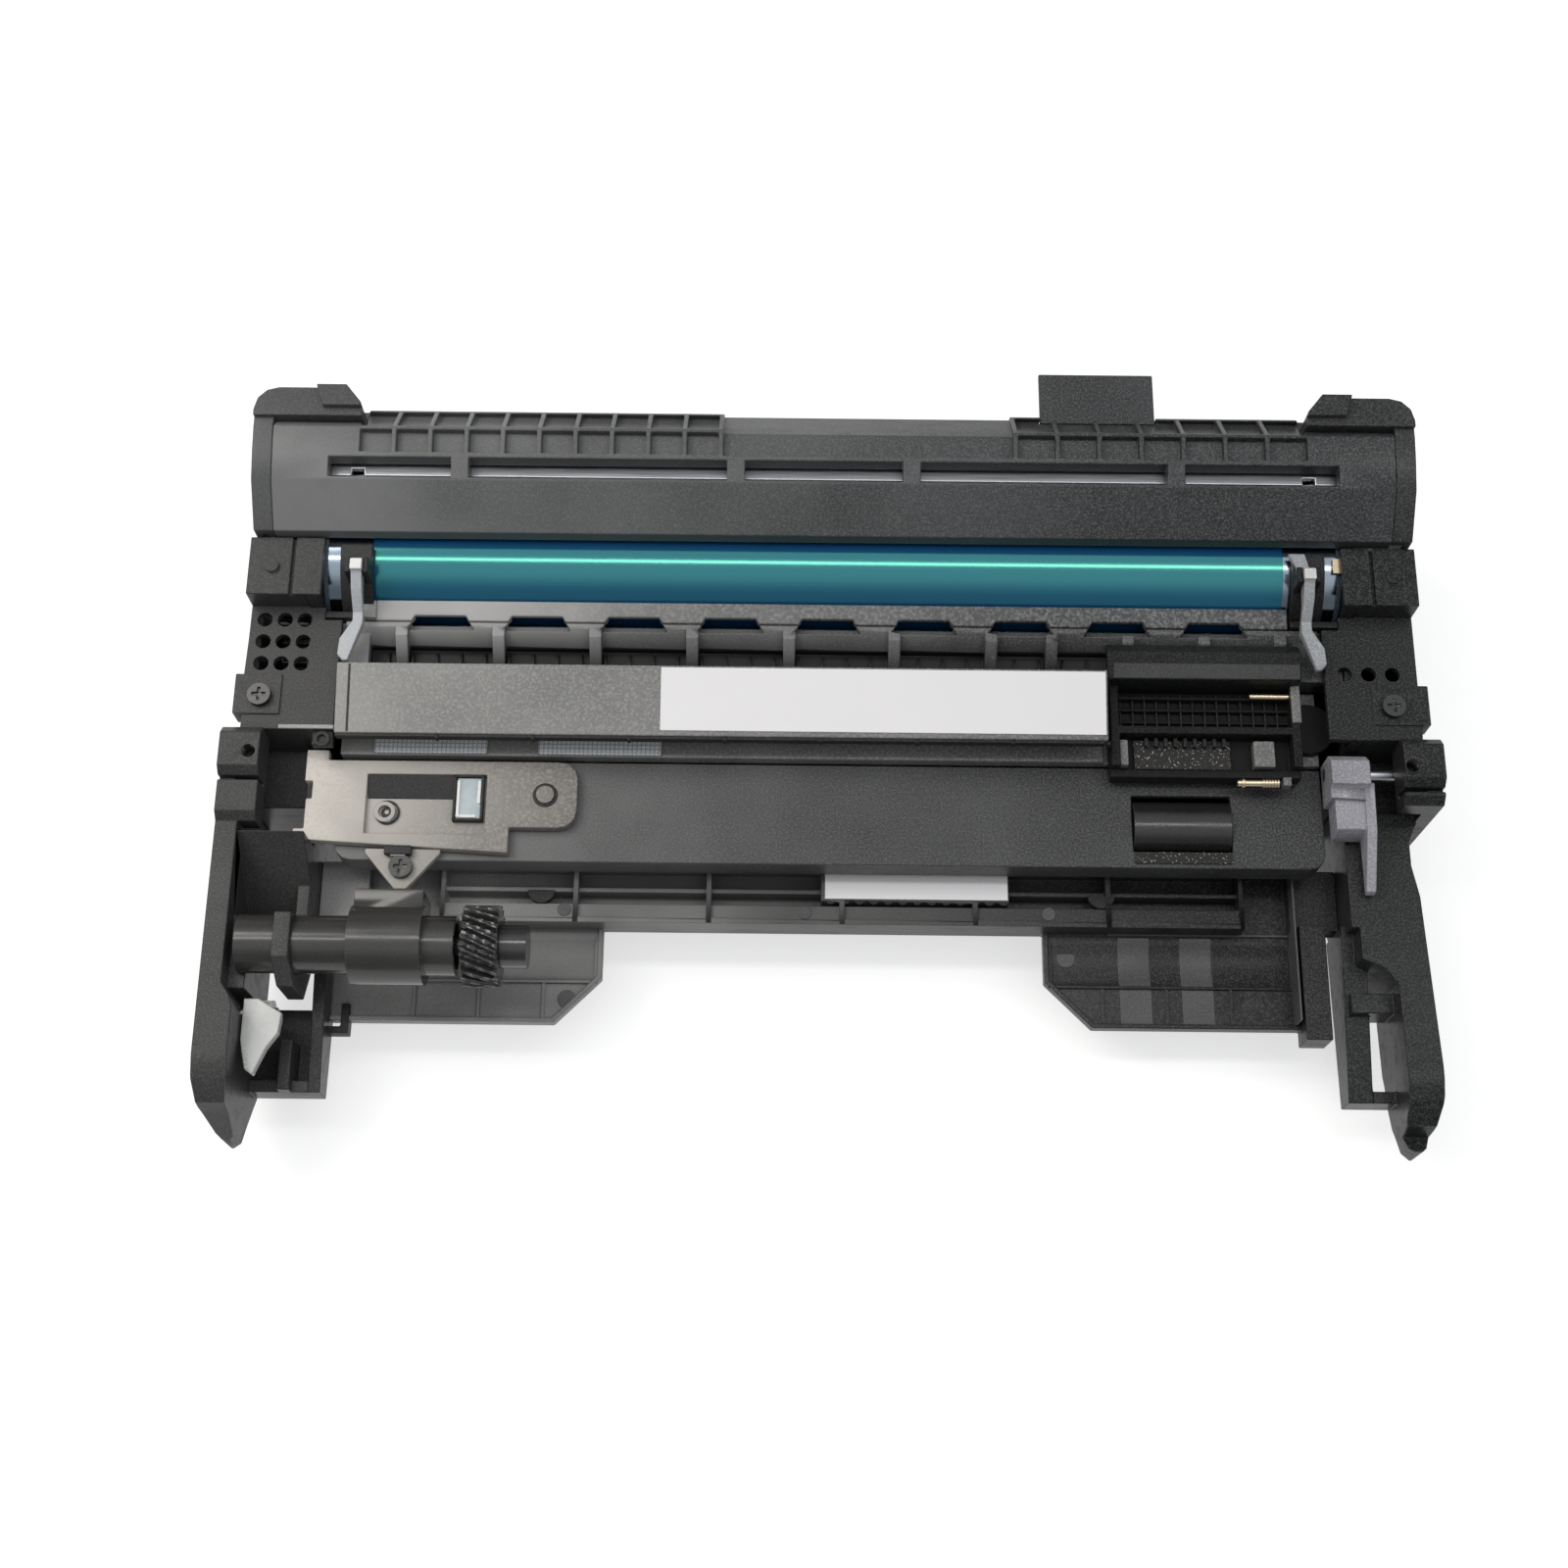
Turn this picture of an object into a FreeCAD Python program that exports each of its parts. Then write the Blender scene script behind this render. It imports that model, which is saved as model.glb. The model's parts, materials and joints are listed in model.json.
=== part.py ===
import FreeCAD, Part
import math
import os
import re
import Sketcher

# Printer drum unit. X runs along the drum, Y to the back, Z up. Millimetres.
# The origin lies under the middle of the unit, at the level it stands on.

SIZES = {
    # Fits and common walls
    "fit": 0.05, "slack": 0.3, "wall": 2, "thin": 1.2,
    # Side frames: outer face of each arm, clear width between the inner plates
    "inner_half": 127.5, "plate": 3, "arm_reach": 18.5, "arm_wall": 4, "arm_skin": 2.2,
    "left_arm_top": 49, "right_arm_top": 36, "arm_low": 12, "arm_front": 96.2, "tip_z": 25, "tip_radius": 12,
    "left_arm_width": 5.4, "left_lobe_width": 8.4, "left_lobe_back": 65, "lobe_front": 84,
    "right_arm_width": 8.6,
    "right_waist": 5.5, "right_roof_front": 50, "bridge_front_low": 27,
    "plate_front": 42, "plate_low_top": 36, "plate_mid_top": 47.9, "heel_front": 18, "heel_back": 78,
    "toe_z": 14, "back_foot_z": 8, "clip_block_back": 1.6, "clip_block_top": 53, "clip_block_split": 11,
    "left_block_front": 22, "right_block_front": 15, "clip_block_width": 10, "bridge_back": 24,
    "bridge_top": 48,
    "bridge_low": 18, "bracket_front": 83, "bracket_top": 30, "bracket_wall": 3, "left_bracket_in": 7,
    "left_bracket_width": 3, "right_bracket_in": 4, "right_bracket_width": 6, "bracket_floor": 2,
    "locating_hole": 1.7, "locating_depth": 5,
    "left_hole_in": 7.4, "left_hole_y": 5.3, "right_hole_in": 8, "right_hole_y": 6, "strip_length": 20,
    # Drum
    "drum_y": 48.8, "drum_z": 40, "drum_radius": 15, "drum_gap": 1.5, "drum_wall": 0.8,
    "flange_rim": 1.2, "flange_depth": 9, "axle_radius": 3, "axle_end": 1.5, "bush_radius": 5.5,
    "bush_rim": 1.5,
    # Gear train: module, width, teeth, directions of the next centre in degrees
    "module_size": 0.8, "gear_width": 8, "gear_gap": 1.5, "backlash": 0.2,
    "drum_teeth": 36, "roller_teeth": 22, "back_mixer_teeth": 18, "front_mixer_teeth": 14,
    "idler_teeth": 16, "waste_teeth": 12, "roller_angle": 215, "back_mixer_angle": 220,
    "front_mixer_angle": 180, "idler_angle": -6,
    "waste_angle": 57,
    # Rollers and shafts beside the drum
    "nip": 0.3, "roller_inset": 12.5, "roller_shaft": 3, "mixer_shaft": 2, "mixer_reach": 6.2,
    "paddle_wall": 1.2,
    "charge_radius": 4.5, "charge_angle": -50, "charge_shaft": 1.5,
    "wiper_radius": 3, "wiper_angle": -50, "wiper_shaft": 1.2,
    "waste_shaft": 1.8, "waste_reach": 5, "waste_pitch": 30, "waste_inset": 9.5,
    # Cleaner housing section
    "cover_reach": 8.5, "lip_y": 50.5, "lip_low": 56, "lip_top": 60, "brow_y": 61, "brow_z": 67.2,
    "shelf_y": 68, "shelf_z": 69, "ridge_y": 74.5, "ridge_z": 70, "back_y": 83.5, "back_z": 62,
    "cover_low": 44, "cover_wall": 3.2, "slot_front": 62, "slot_back": 66.8,
    "slot_inset": 2.5, "slot_gap": 4.4, "slot_one": -92.5, "slot_two": -24.2, "slot_three": 19.3,
    "slot_four": 84.7,
    "cell_depth": 2.2, "ridge_wall": 1.3, "rib": 1.2, "cells_left_inset": 9.5, "cells_left_pitch": 9,
    "cells_left_count": 11, "cells_right_inset": 82.5, "cells_right_pitch": 10.4, "cells_right_count": 8,
    "cells_back": 82.6, "cap_thick": 5, "cap_top": 71.5, "cap_reach": 22, "cap_front": 76.6, "cap_chamfer": 4,
    "cap_round": 6, "cap_box_out": 10.5, "cap_box_in": 22, "cap_box_front": 78.6, "cap_box_rise": 1.8,
    "tab_left": 52.2, "tab_right": 81.2, "tab_back": 96.2, "tab_z": 60, "tab_wall": 1.5,
    # Waste trough, blade and charge housing
    "trough_floor": 40, "trough_front": 66.8, "trough_lip": 45.5, "skirt_low": 8,
    "blade_y": 62.6, "blade_thick": 1.6, "blade_tip": 46.6, "blade_top": 57.5, "bracket_steel": 1.5,
    "blade_leg": 50, "blade_flange": 61.8, "flange_width": 4.3, "blade_inset": 8.5,
    "charge_floor": 10, "charge_front": 55, "charge_back": 73, "bearing_out": 3.2, "bearing_width": 4,
    "bearing_gap": 3.5, "spring_radius": 2.1, "spring_wire": 0.35, "spring_pitch": 1.9,
    # Gear cover and bearing cover
    "cover_front": 1.6, "cover_floor": 6, "cover_deck": 50, "step_y": 34.4, "step_top": 57.5,
    "step_back": 50, "skirt_front": 12, "skirt_top": 30, "gear_cover_wall": 2.3,
    "left_rest_gap": 5.2, "right_rest_gap": 2.9, "rest_out": 2.2, "rest_front": 5.4, "rest_back": 15.8,
    "blind_hole": 1.9, "blind_depth": 3, "hole_pitch_x": 5, "hole_pitch_y": 5.9, "left_holes_gap": 0.9,
    "right_holes_gap": -3.4, "right_hole_pitch": 5.9, "holes_y": 19, "left_screw_gap": 10.2,
    "right_screw_gap": 7.6,
    "screw_y": 10, "ledge_top": 2, "ledge_inner_back": 31, "seam_gap": 3.1, "seam_width": 0.8,
    "seam_depth": 1.2,
    "dowel_gap": 8.5, "dowel_y": 41.8, "dowel_radius": 1.7, "dowel_rise": 1,
    # Developer housing section
    "floor_z": 5, "front_wall_y": 9, "deck_front": 28, "deck_back": 2, "deck_z": 38, "deck_inset": 5.5,
    "deck_round": 4,
    "deck_skirt": 30, "back_floor_y": 26, "back_lip_y": 41, "back_lip_z": 22,
    # Developer cover and paper guide
    "panel_inset": 5.7, "panel_gap": 1.2, "panel_front": 0.6, "panel_back": 18, "panel_front_z": 50.6,
    "panel_back_z": 53.6, "ledge_front": 1.5, "ledge_z": 41, "ledge_back": 4, "label_left": 42,
    "label_edge": 0.5, "label_front": 1.8, "label_back": 17.4, "label_thick": 0.3,
    "guide_floor": 40, "guide_crest_y": 31.4, "guide_crest": 48.4, "guide_foot_y": 26.3, "guide_foot": 42,
    "guide_lip": 44.7, "strip_back": 36.5, "strip_z": 50, "strip_inset": 13.5, "guide_inset": 6, "fin": 3,
    "fins_left_inset": 18.6, "fins_left_count": 5, "fin_pitch": 24.2, "fins_middle_x": 14.2,
    "fins_middle_count": 2,
    "fins_right_inset": 74, "fins_right_pitch": 19, "fins_right_count": 4, "fine_rib_pitch": 6.05,
    "fine_rib_count": 38, "notch_gap": 2.5, "notch_count": 9, "notch_width": 17, "notch_slant": 2.2,
    "notch_depth": 3.4, "notch_below": 2.5,
    "doctor_y": 27, "doctor_wall": 1.5, "doctor_low": 35.2,
    # Seal strips on the ledge
    "seal_inset": 14.2, "seal_one": 28, "seal_gap": 12.7, "seal_two": 30.5, "seal_top": 42,
    # Sensor cover on the deck
    "lid_top": 41, "lid_reach": 2.5, "lid_back": 0.4, "lid_front": 26.8, "lid_neck": 20.2, "lid_step": 51,
    "lid_length": 67.5, "lid_round": 4.5, "lid_lobe_back": 3, "lid_ear_reach": 1.5, "pocket_inset": 15.5,
    "pocket_width": 29.5, "pocket_back": 6.6, "pocket_front": 22, "pocket_z": 39.4, "window_gap": 1.2,
    "window_width": 6.2, "window_front": 18, "window_back": 7.2, "boss_inset": 4.7, "boss_y": -16.3,
    "boss_radius": 2.6, "stud_inset": 7.9, "stud_y": -11.8, "stud_radius": 2.2, "tab_inset": 25.2,
    "tab_y": -30.6,
    "tab_half": 9.2, "tab_point": 36,
    # Toner port
    "port_inset": 11.5, "port_width": 47, "port_front": 6.5, "port_rear": 26, "port_top": 47,
    "port_wall": 2.2,
    "port_rise": 16.6, "port_bar_low": 49.5, "port_bar_top": 53, "well_front": 6,
    "shutter_inset": 17, "shutter_width": 24, "shutter_y": -16.5, "shutter_z": 33, "shutter_radius": 7,
    "shutter_wall": 1.2,
    "seal_thick": 1.2, "pin_radius": 0.9, "pivot_radius": 1.2, "half_disc_gap": 3, "half_disc_y": 7.5,
    "half_disc_radius": 6.5,
    # Lower guide and wings
    "lower_left_inset": 30.5, "lower_right_inset": 24, "lower_front": 40, "lower_back": 8, "lower_z": 28,
    "lower_floor": 20,
    "lower_shelf": 35, "lower_mid": 31.7, "wing_z": 20, "wing_wall": 2.5, "wing_front": 64.2,
    "left_wing_length": 66.9,
    "right_wing_length": 69.5, "wing_inset": 4.2, "wing_chamfer": 11.5, "wing_rim": 1.2,
    "wing_groove_y": 47.5,
    "wing_groove_radius": 14, "wing_groove_depth": 1.3, "tag_left": -1, "tag_right": 45, "tag_front": 33.5,
    "wing_block_width": 8.5, "wing_block_front": 68, "wing_block_top": 27,
    # Toner supply tube
    "tube_y": -51.7, "tube_z": 45, "tube_radius": 9.5, "tube_neck": 7.2, "tube_collar": 7, "tube_bore": 5.6,
    "tube_reach": 10.5, "collar_length": 26.9, "barrel_length": 17.4, "neck_length": 7.5,
    "tube_gear_gap": 1.9,
    "tube_gear_width": 8.6, "tube_teeth": 20, "tube_gear_module": 0.9, "tube_twist": 24,
    "tube_end_radius": 5.2,
    "tube_end_length": 15.1, "tube_shaft": 2.5, "tube_flight": 5.1, "tube_pitch": 12, "duct_back": 39,
    "duct_z": 50,
    # Drum clips and lift levers
    "clip_inset": 13, "clip_width": 8, "clip_gap": 0.4, "clip_wall": 2, "lever_y": 41, "lever_z": 59.2,
    "lever_pin": 1.2, "lever_hub": 2.4, "lever_inset": 11.3, "lever_wall": 2.6, "lever_front": 19,
    "lever_low": 51.5,
    "lever_bend_y": 29, "lever_splay": 3,
    # Latches
    "latch_gap": 7, "left_latch_y": 66.5, "left_latch_z": 36, "right_latch_y": 4, "right_latch_z": 40,
    "latch_pin": 1.5, "latch_hub": 3.2,
    # Screws, pins and contact
    "head_radius": 2.9, "head_height": 1.6, "shank_radius": 1.3, "shank_length": 7, "recess": 0.7,
    "contact_wall": 0.6,
}

# Formulas for places that follow from the sizes above.
PLACES = {
    "plate_out": "inner_half + plate",
    "arm_face": "plate_out + arm_reach",
    "gear_start": "plate_out + gear_gap",
    "cover_half": "plate_out + cover_reach",
    "drum_half": "inner_half - drum_gap",
    "sleeve_half": "inner_half - roller_inset",
    "charge_half": "inner_half - roller_inset",
    "bearing_x": "charge_half + bearing_gap",
    "waste_half": "inner_half - waste_inset",
    "blade_half": "inner_half - blade_inset",
    "slot_end": "inner_half - slot_inset",
    "cells_left_x": "-(inner_half - cells_left_inset)",
    "cells_right_x": "inner_half - cells_right_inset",
    "deck_half": "inner_half - deck_inset",
    "panel_left": "inner_half - panel_inset",
    "panel_right": "port_left - panel_gap",
    "label_right": "panel_right - label_edge",
    "strip_half": "inner_half - strip_inset",
    "guide_half": "inner_half - guide_inset",
    "fins_left_x": "-(inner_half - fins_left_inset)",
    "fins_right_x": "inner_half - fins_right_inset",
    "seal_left": "-(inner_half - seal_inset)",
    "seal_split_a": "seal_left + seal_one",
    "seal_split_b": "seal_split_a + seal_gap",
    "seal_right": "seal_split_b + seal_two",
    "lid_left": "inner_half + lid_reach",
    "lid_mid": "lid_left - lid_step",
    "lid_right": "lid_left - lid_length",
    "lid_ear": "plate_out + lid_ear_reach",
    "pocket_left": "lid_left - pocket_inset",
    "pocket_right": "pocket_left - pocket_width",
    "window_right": "pocket_right + window_gap",
    "window_left": "window_right + window_width",
    "boss_x": "-(pocket_left - boss_inset)",
    "stud_x": "-(lid_right + stud_inset)",
    "tab_x": "-(lid_left - tab_inset)",
    "port_right": "inner_half - port_inset",
    "port_left": "port_right - port_width",
    "shutter_right": "port_right - shutter_inset",
    "shutter_left": "shutter_right - shutter_width",
    "half_disc_x": "port_right + half_disc_gap",
    "lower_left": "inner_half - lower_left_inset",
    "lower_right": "inner_half - lower_right_inset",
    "wing_half": "inner_half - wing_inset",
    "wing_inner_left": "wing_half - left_wing_length",
    "wing_inner_right": "wing_half - right_wing_length",
    "tube_left": "plate_out + tube_reach",
    "barrel_left": "tube_left - collar_length",
    "barrel_right": "barrel_left - barrel_length",
    "neck_end": "barrel_right - neck_length",
    "tube_gear_start": "neck_end - tube_gear_gap",
    "tube_end": "tube_gear_start - tube_end_length",
    "clip_left": "inner_half - clip_inset",
    "clip_right": "clip_left + clip_width",
    "lever_x": "inner_half - lever_inset",
    "left_latch_x": "plate_out + latch_gap",
    "roller_gap": "module_size * (drum_teeth + roller_teeth) / 2",
    "back_mixer_gap": "module_size * (roller_teeth + back_mixer_teeth) / 2",
    "front_mixer_gap": "module_size * (back_mixer_teeth + front_mixer_teeth) / 2",
    "idler_gap": "module_size * (drum_teeth + idler_teeth) / 2",
    "waste_gap": "module_size * (idler_teeth + waste_teeth) / 2",
    "roller_y": "drum_y + roller_gap * cos(roller_angle * 1deg)",
    "roller_z": "drum_z + roller_gap * sin(roller_angle * 1deg)",
    "roller_radius": "roller_gap - drum_radius - nip",
    "back_mixer_y": "roller_y + back_mixer_gap * cos(back_mixer_angle * 1deg)",
    "back_mixer_z": "roller_z + back_mixer_gap * sin(back_mixer_angle * 1deg)",
    "front_mixer_y": "back_mixer_y + front_mixer_gap * cos(front_mixer_angle * 1deg)",
    "front_mixer_z": "back_mixer_z + front_mixer_gap * sin(front_mixer_angle * 1deg)",
    "idler_y": "drum_y + idler_gap * cos(idler_angle * 1deg)",
    "idler_z": "drum_z + idler_gap * sin(idler_angle * 1deg)",
    "waste_y": "idler_y + waste_gap * cos(waste_angle * 1deg)",
    "waste_z": "idler_z + waste_gap * sin(waste_angle * 1deg)",
    "charge_gap": "drum_radius + nip + charge_radius",
    "charge_y": "drum_y + charge_gap * cos(charge_angle * 1deg)",
    "charge_z": "drum_z + charge_gap * sin(charge_angle * 1deg)",
    "wiper_gap": "charge_radius + nip + wiper_radius",
    "wiper_y": "charge_y + wiper_gap * cos(wiper_angle * 1deg)",
    "wiper_z": "charge_z + wiper_gap * sin(wiper_angle * 1deg)",
    "blade_back": "blade_y + blade_thick",
}

doc = FreeCAD.newDocument("drum_unit")
sheet = doc.addObject("Spreadsheet::Sheet", "Sizes")
for row, (alias, number) in enumerate(SIZES.items(), 1):
    sheet.set("A%d" % row, alias)
    sheet.set("B%d" % row, str(number))
    sheet.setAlias("B%d" % row, alias)
doc.recompute()

WORD = re.compile(r"[a-z][a-z_0-9]*")
NODES = {}
ZERO = FreeCAD.Vector(0, 0, 0)
TURN_TO_X = FreeCAD.Rotation(FreeCAD.Vector(0, 1, 0), 90)
TURN_TO_Y = FreeCAD.Rotation(FreeCAD.Vector(1, 0, 0), -90)


def size(name):
    """Number that the sheet holds for a size."""
    return float(sheet.get(name))


def cells(text):
    """Formula in which every size is a cell of the sheet."""
    def swap(found):
        word = found.group(0)
        if word in PLACES:
            return "(" + cells(PLACES[word]) + ")"
        if word in SIZES:
            return "Sizes." + word
        return word
    return WORD.sub(swap, str(text))


def bind(item, prop, text):
    item.setExpression(prop, cells(text))


def sketch(body, role, points, offset=("0", "0", "0")):
    """Closed outline of straight lines on an origin plane, each corner set by a formula."""
    face = [f for f in body.Origin.OriginFeatures if f.Role == role][0]
    item = body.newObject("Sketcher::SketchObject", "outline")
    item.AttachmentSupport = [(face, "")]
    item.MapMode = "FlatFace"
    count = len(points)
    lines = []
    for i in range(count):
        k = (i + 1) % count
        lines.append(Part.LineSegment(FreeCAD.Vector(i, i * i, 0), FreeCAD.Vector(k, k * k, 0)))
    item.addGeometry(lines, False)
    rules = []
    for i in range(count):
        rules.append(Sketcher.Constraint("Coincident", i, 2, (i + 1) % count, 1))
    for i in range(count):
        rules.append(Sketcher.Constraint("DistanceX", -1, 1, i, 1, float(i + 1)))
        rules.append(Sketcher.Constraint("DistanceY", -1, 1, i, 1, float(i + 1)))
    item.addConstraint(rules)
    for i, (first, second) in enumerate(points):
        bind(item, "Constraints[%d]" % (count + 2 * i), first)
        bind(item, "Constraints[%d]" % (count + 2 * i + 1), second)
    for axis, text in zip("xyz", offset):
        if text != "0":
            bind(item, "AttachmentOffset.Base." + axis, text)
    return item


def prism(name, role, points, offset, length):
    body = doc.addObject("PartDesign::Body", name)
    outline = sketch(body, role, points, ("0", "0", offset))
    pad = body.newObject("PartDesign::Pad", name + "_pad")
    pad.Profile = outline
    bind(pad, "Length", length)
    return body


def run(name, points, x_low, x_high):
    """Prism along X with a section in (Y, Z)."""
    return prism(name, "YZ_Plane", points, x_low, "(%s) - (%s)" % (x_high, x_low))


def slab(name, points, z_low, z_high):
    """Prism along Z with an outline in (X, Y)."""
    return prism(name, "XY_Plane", points, z_low, "(%s) - (%s)" % (z_high, z_low))


def row(body, pitch, count):
    """Repeats the body's pad along X."""
    pattern = body.newObject("PartDesign::LinearPattern", body.Name + "_row")
    pattern.Originals = [body.Tip]
    axis = [f for f in body.Origin.OriginFeatures if f.Role == "X_Axis"][0]
    pattern.Direction = (axis, [""])
    pattern.Mode = "Spacing"
    bind(pattern, "Offset", pitch)
    bind(pattern, "Occurrences", count)
    body.AllowCompound = True
    body.Tip = pattern
    return body


def box(name, x, y, z):
    """Block between two formulas along each axis."""
    item = doc.addObject("Part::Box", name)
    for axis, prop, (low, high) in (("x", "Length", x), ("y", "Width", y), ("z", "Height", z)):
        bind(item, prop, "(%s) - (%s)" % (high, low))
        bind(item, "Placement.Base." + axis, low)
    return item


def rod(name, axis, centre, radius, low, high):
    """Cylinder along an axis; centre gives the other two places in order."""
    item = doc.addObject("Part::Cylinder", name)
    turns = {"x": TURN_TO_X, "y": TURN_TO_Y, "z": FreeCAD.Rotation()}
    item.Placement = FreeCAD.Placement(ZERO, turns[axis])
    bind(item, "Radius", radius)
    bind(item, "Height", "(%s) - (%s)" % (high, low))
    others = [other for other in "xyz" if other != axis]
    bind(item, "Placement.Base." + axis, low)
    bind(item, "Placement.Base." + others[0], centre[0])
    bind(item, "Placement.Base." + others[1], centre[1])
    return item


def turned(name, centre, points):
    """Turned piece about an X axis at centre (Y, Z); points are (X, radius)."""
    body = doc.addObject("PartDesign::Body", name)
    outline = sketch(body, "XZ_Plane", points, ("0", centre[1], "-(%s)" % centre[0]))
    turn = body.newObject("PartDesign::Revolution", name + "_turn")
    turn.Profile = outline
    turn.ReferenceAxis = (outline, ["H_Axis"])
    turn.Angle = 360
    return body


def flight(body, centre, start, shaft, reach, thickness, pitch, height):
    """Helical blade round a turned shaft."""
    points = [(start, shaft + " - fit"), ("%s + %s" % (start, thickness), shaft + " - fit"),
              ("%s + %s" % (start, thickness), reach), (start, reach)]
    outline = sketch(body, "XZ_Plane", points, ("0", centre[1], "-(%s)" % centre[0]))
    blade = body.newObject("PartDesign::AdditiveHelix", body.Name + "_flight")
    blade.Profile = outline
    blade.ReferenceAxis = (outline, ["H_Axis"])
    blade.Mode = "pitch-height-angle"
    bind(blade, "Pitch", pitch)
    bind(blade, "Height", height)
    return body


def fuse(name, pieces):
    item = doc.addObject("Part::MultiFuse", name)
    item.Shapes = pieces
    item.Refine = True
    return item


def cut(name, base, tools, refine=True):
    item = doc.addObject("Part::Cut", name)
    item.Base = base
    item.Tool = tools[0] if len(tools) == 1 else fuse(name + "_tools", tools)
    item.Refine = refine
    return item


def group(name, pieces):
    item = doc.addObject("Part::Compound", name)
    item.Links = pieces
    return item


def common(name, base, tool):
    item = doc.addObject("Part::Common", name)
    item.Base = base
    item.Tool = tool
    return item


def bend(x_text, y_text, radius, first, last, steps=3):
    """Corners of a round stretch about a centre, from one angle in degrees to another."""
    corners = []
    for i in range(steps + 1):
        angle = first + (last - first) * i / steps
        corners.append(("%s + %s * cos(%g * 1deg)" % (x_text, radius, angle),
                        "%s + %s * sin(%g * 1deg)" % (y_text, radius, angle)))
    return corners


def mirrored(side, points):
    """Outline seen from above, given for the right, on one side."""
    return [(at(side, x_text), y_text) for x_text, y_text in points]


def node(label, item):
    """Registers a finished sub-part under the name of its file."""
    item.Label = label
    NODES[label] = item
    return item


def span(side, near, far):
    """Bounds along X of something that lies near..far from the middle on one side."""
    if side < 0:
        return "-(%s)" % far, "-(%s)" % near
    return near, far


def at(side, place):
    """Place along X at a distance from the middle on one side."""
    return "-(%s)" % place if side < 0 else place


SIDES = (("left", -1), ("right", 1))


# Gears

def involute(angle):
    return math.tan(angle) - angle


def gear_outline(teeth, module, backlash, turn):
    """Corners of a gear with involute flanks, in its own plane."""
    pitch_radius = module * teeth / 2
    pressure = math.radians(20)
    base = pitch_radius * math.cos(pressure)
    tip = pitch_radius + 0.9 * module
    root = pitch_radius - 1.2 * module
    half = math.pi / teeth / 2 - backlash / pitch_radius / 2
    flank = []
    for radius in (max(base, root) + 0.01, pitch_radius, (pitch_radius + tip) / 2, tip):
        lean = involute(math.acos(min(1.0, base / radius)))
        flank.append((radius, half + involute(pressure) - lean))
    corners = []
    for i in range(teeth):
        middle = turn + 2 * math.pi * i / teeth
        corners.append((root, middle - flank[0][1]))
        corners.extend((radius, middle - lean) for radius, lean in flank)
        corners.extend((radius, middle + lean) for radius, lean in reversed(flank))
        corners.append((root, middle + flank[0][1]))
    return [FreeCAD.Vector(0, r * math.cos(a), r * math.sin(a)) for r, a in corners]


def gear_shape(teeth, module, width, bore, backlash, turn=0.0, twist=0.0):
    """Gear from X = 0 to its width, with a plain bore; twist in radians makes it helical."""
    steps = 1 if twist == 0 else 3
    wires = []
    for i in range(steps + 1):
        corners = gear_outline(teeth, module, backlash, turn + twist * i / steps)
        wire = Part.makePolygon(corners + corners[:1])
        wire.translate(FreeCAD.Vector(width * i / steps, 0, 0))
        wires.append(wire)
    if steps == 1:
        solid = Part.Face(wires[0]).extrude(FreeCAD.Vector(width, 0, 0))
    else:
        solid = Part.makeLoft(wires, True, True)
    hole = Part.makeCylinder(bore, width + 2, FreeCAD.Vector(-1, 0, 0), FreeCAD.Vector(1, 0, 0))
    return solid.cut(hole)


def mesh_turn(teeth, mate_teeth, mate_turn, direction):
    """Turn of a gear whose gap meets the mate's tooth, seen from the mate along direction."""
    pitch = 2 * math.pi / mate_teeth
    offset = (mate_turn - direction) - pitch * round((mate_turn - direction) / pitch)
    return direction + math.pi + math.pi / teeth - offset * mate_teeth / teeth


def gear(label, teeth_name, centre, shaft_name, turn):
    """Spur gear of the left train on its shaft."""
    item = doc.addObject("Part::Feature", label)
    item.Shape = gear_shape(int(size(teeth_name)), size("module_size"), size("gear_width"),
                            size(shaft_name) + size("fit"), size("backlash"), turn)
    item.Placement = FreeCAD.Placement(ZERO, FreeCAD.Rotation())
    bind(item, "Placement.Base.x", "-(gear_start + gear_width)")
    bind(item, "Placement.Base.y", centre[0])
    bind(item, "Placement.Base.z", centre[1])
    return node(label, item)


def train():
    """Turns of the gears of the train, so that they mesh."""
    turns = {"drum": 0.0}
    links = (("roller", "drum"), ("back_mixer", "roller"), ("front_mixer", "back_mixer"), ("idler", "drum"),
             ("waste", "idler"))
    for name, mate in links:
        direction = math.radians(size(name + "_angle"))
        turns[name] = mesh_turn(int(size(name + "_teeth")), int(size(mate + "_teeth")), turns[mate],
                                direction)
    return turns


TURNS = train()
DRUM = ("drum_y", "drum_z")
ROLLER = ("roller_y", "roller_z")
BACK_MIXER = ("back_mixer_y", "back_mixer_z")
FRONT_MIXER = ("front_mixer_y", "front_mixer_z")
IDLER = ("idler_y", "idler_z")
WASTE = ("waste_y", "waste_z")
CHARGE = ("charge_y", "charge_z")
WIPER = ("wiper_y", "wiper_z")
TUBE = ("tube_y", "tube_z")


# Drum: coated tube, gear flange, hub, axle and bushes

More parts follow.
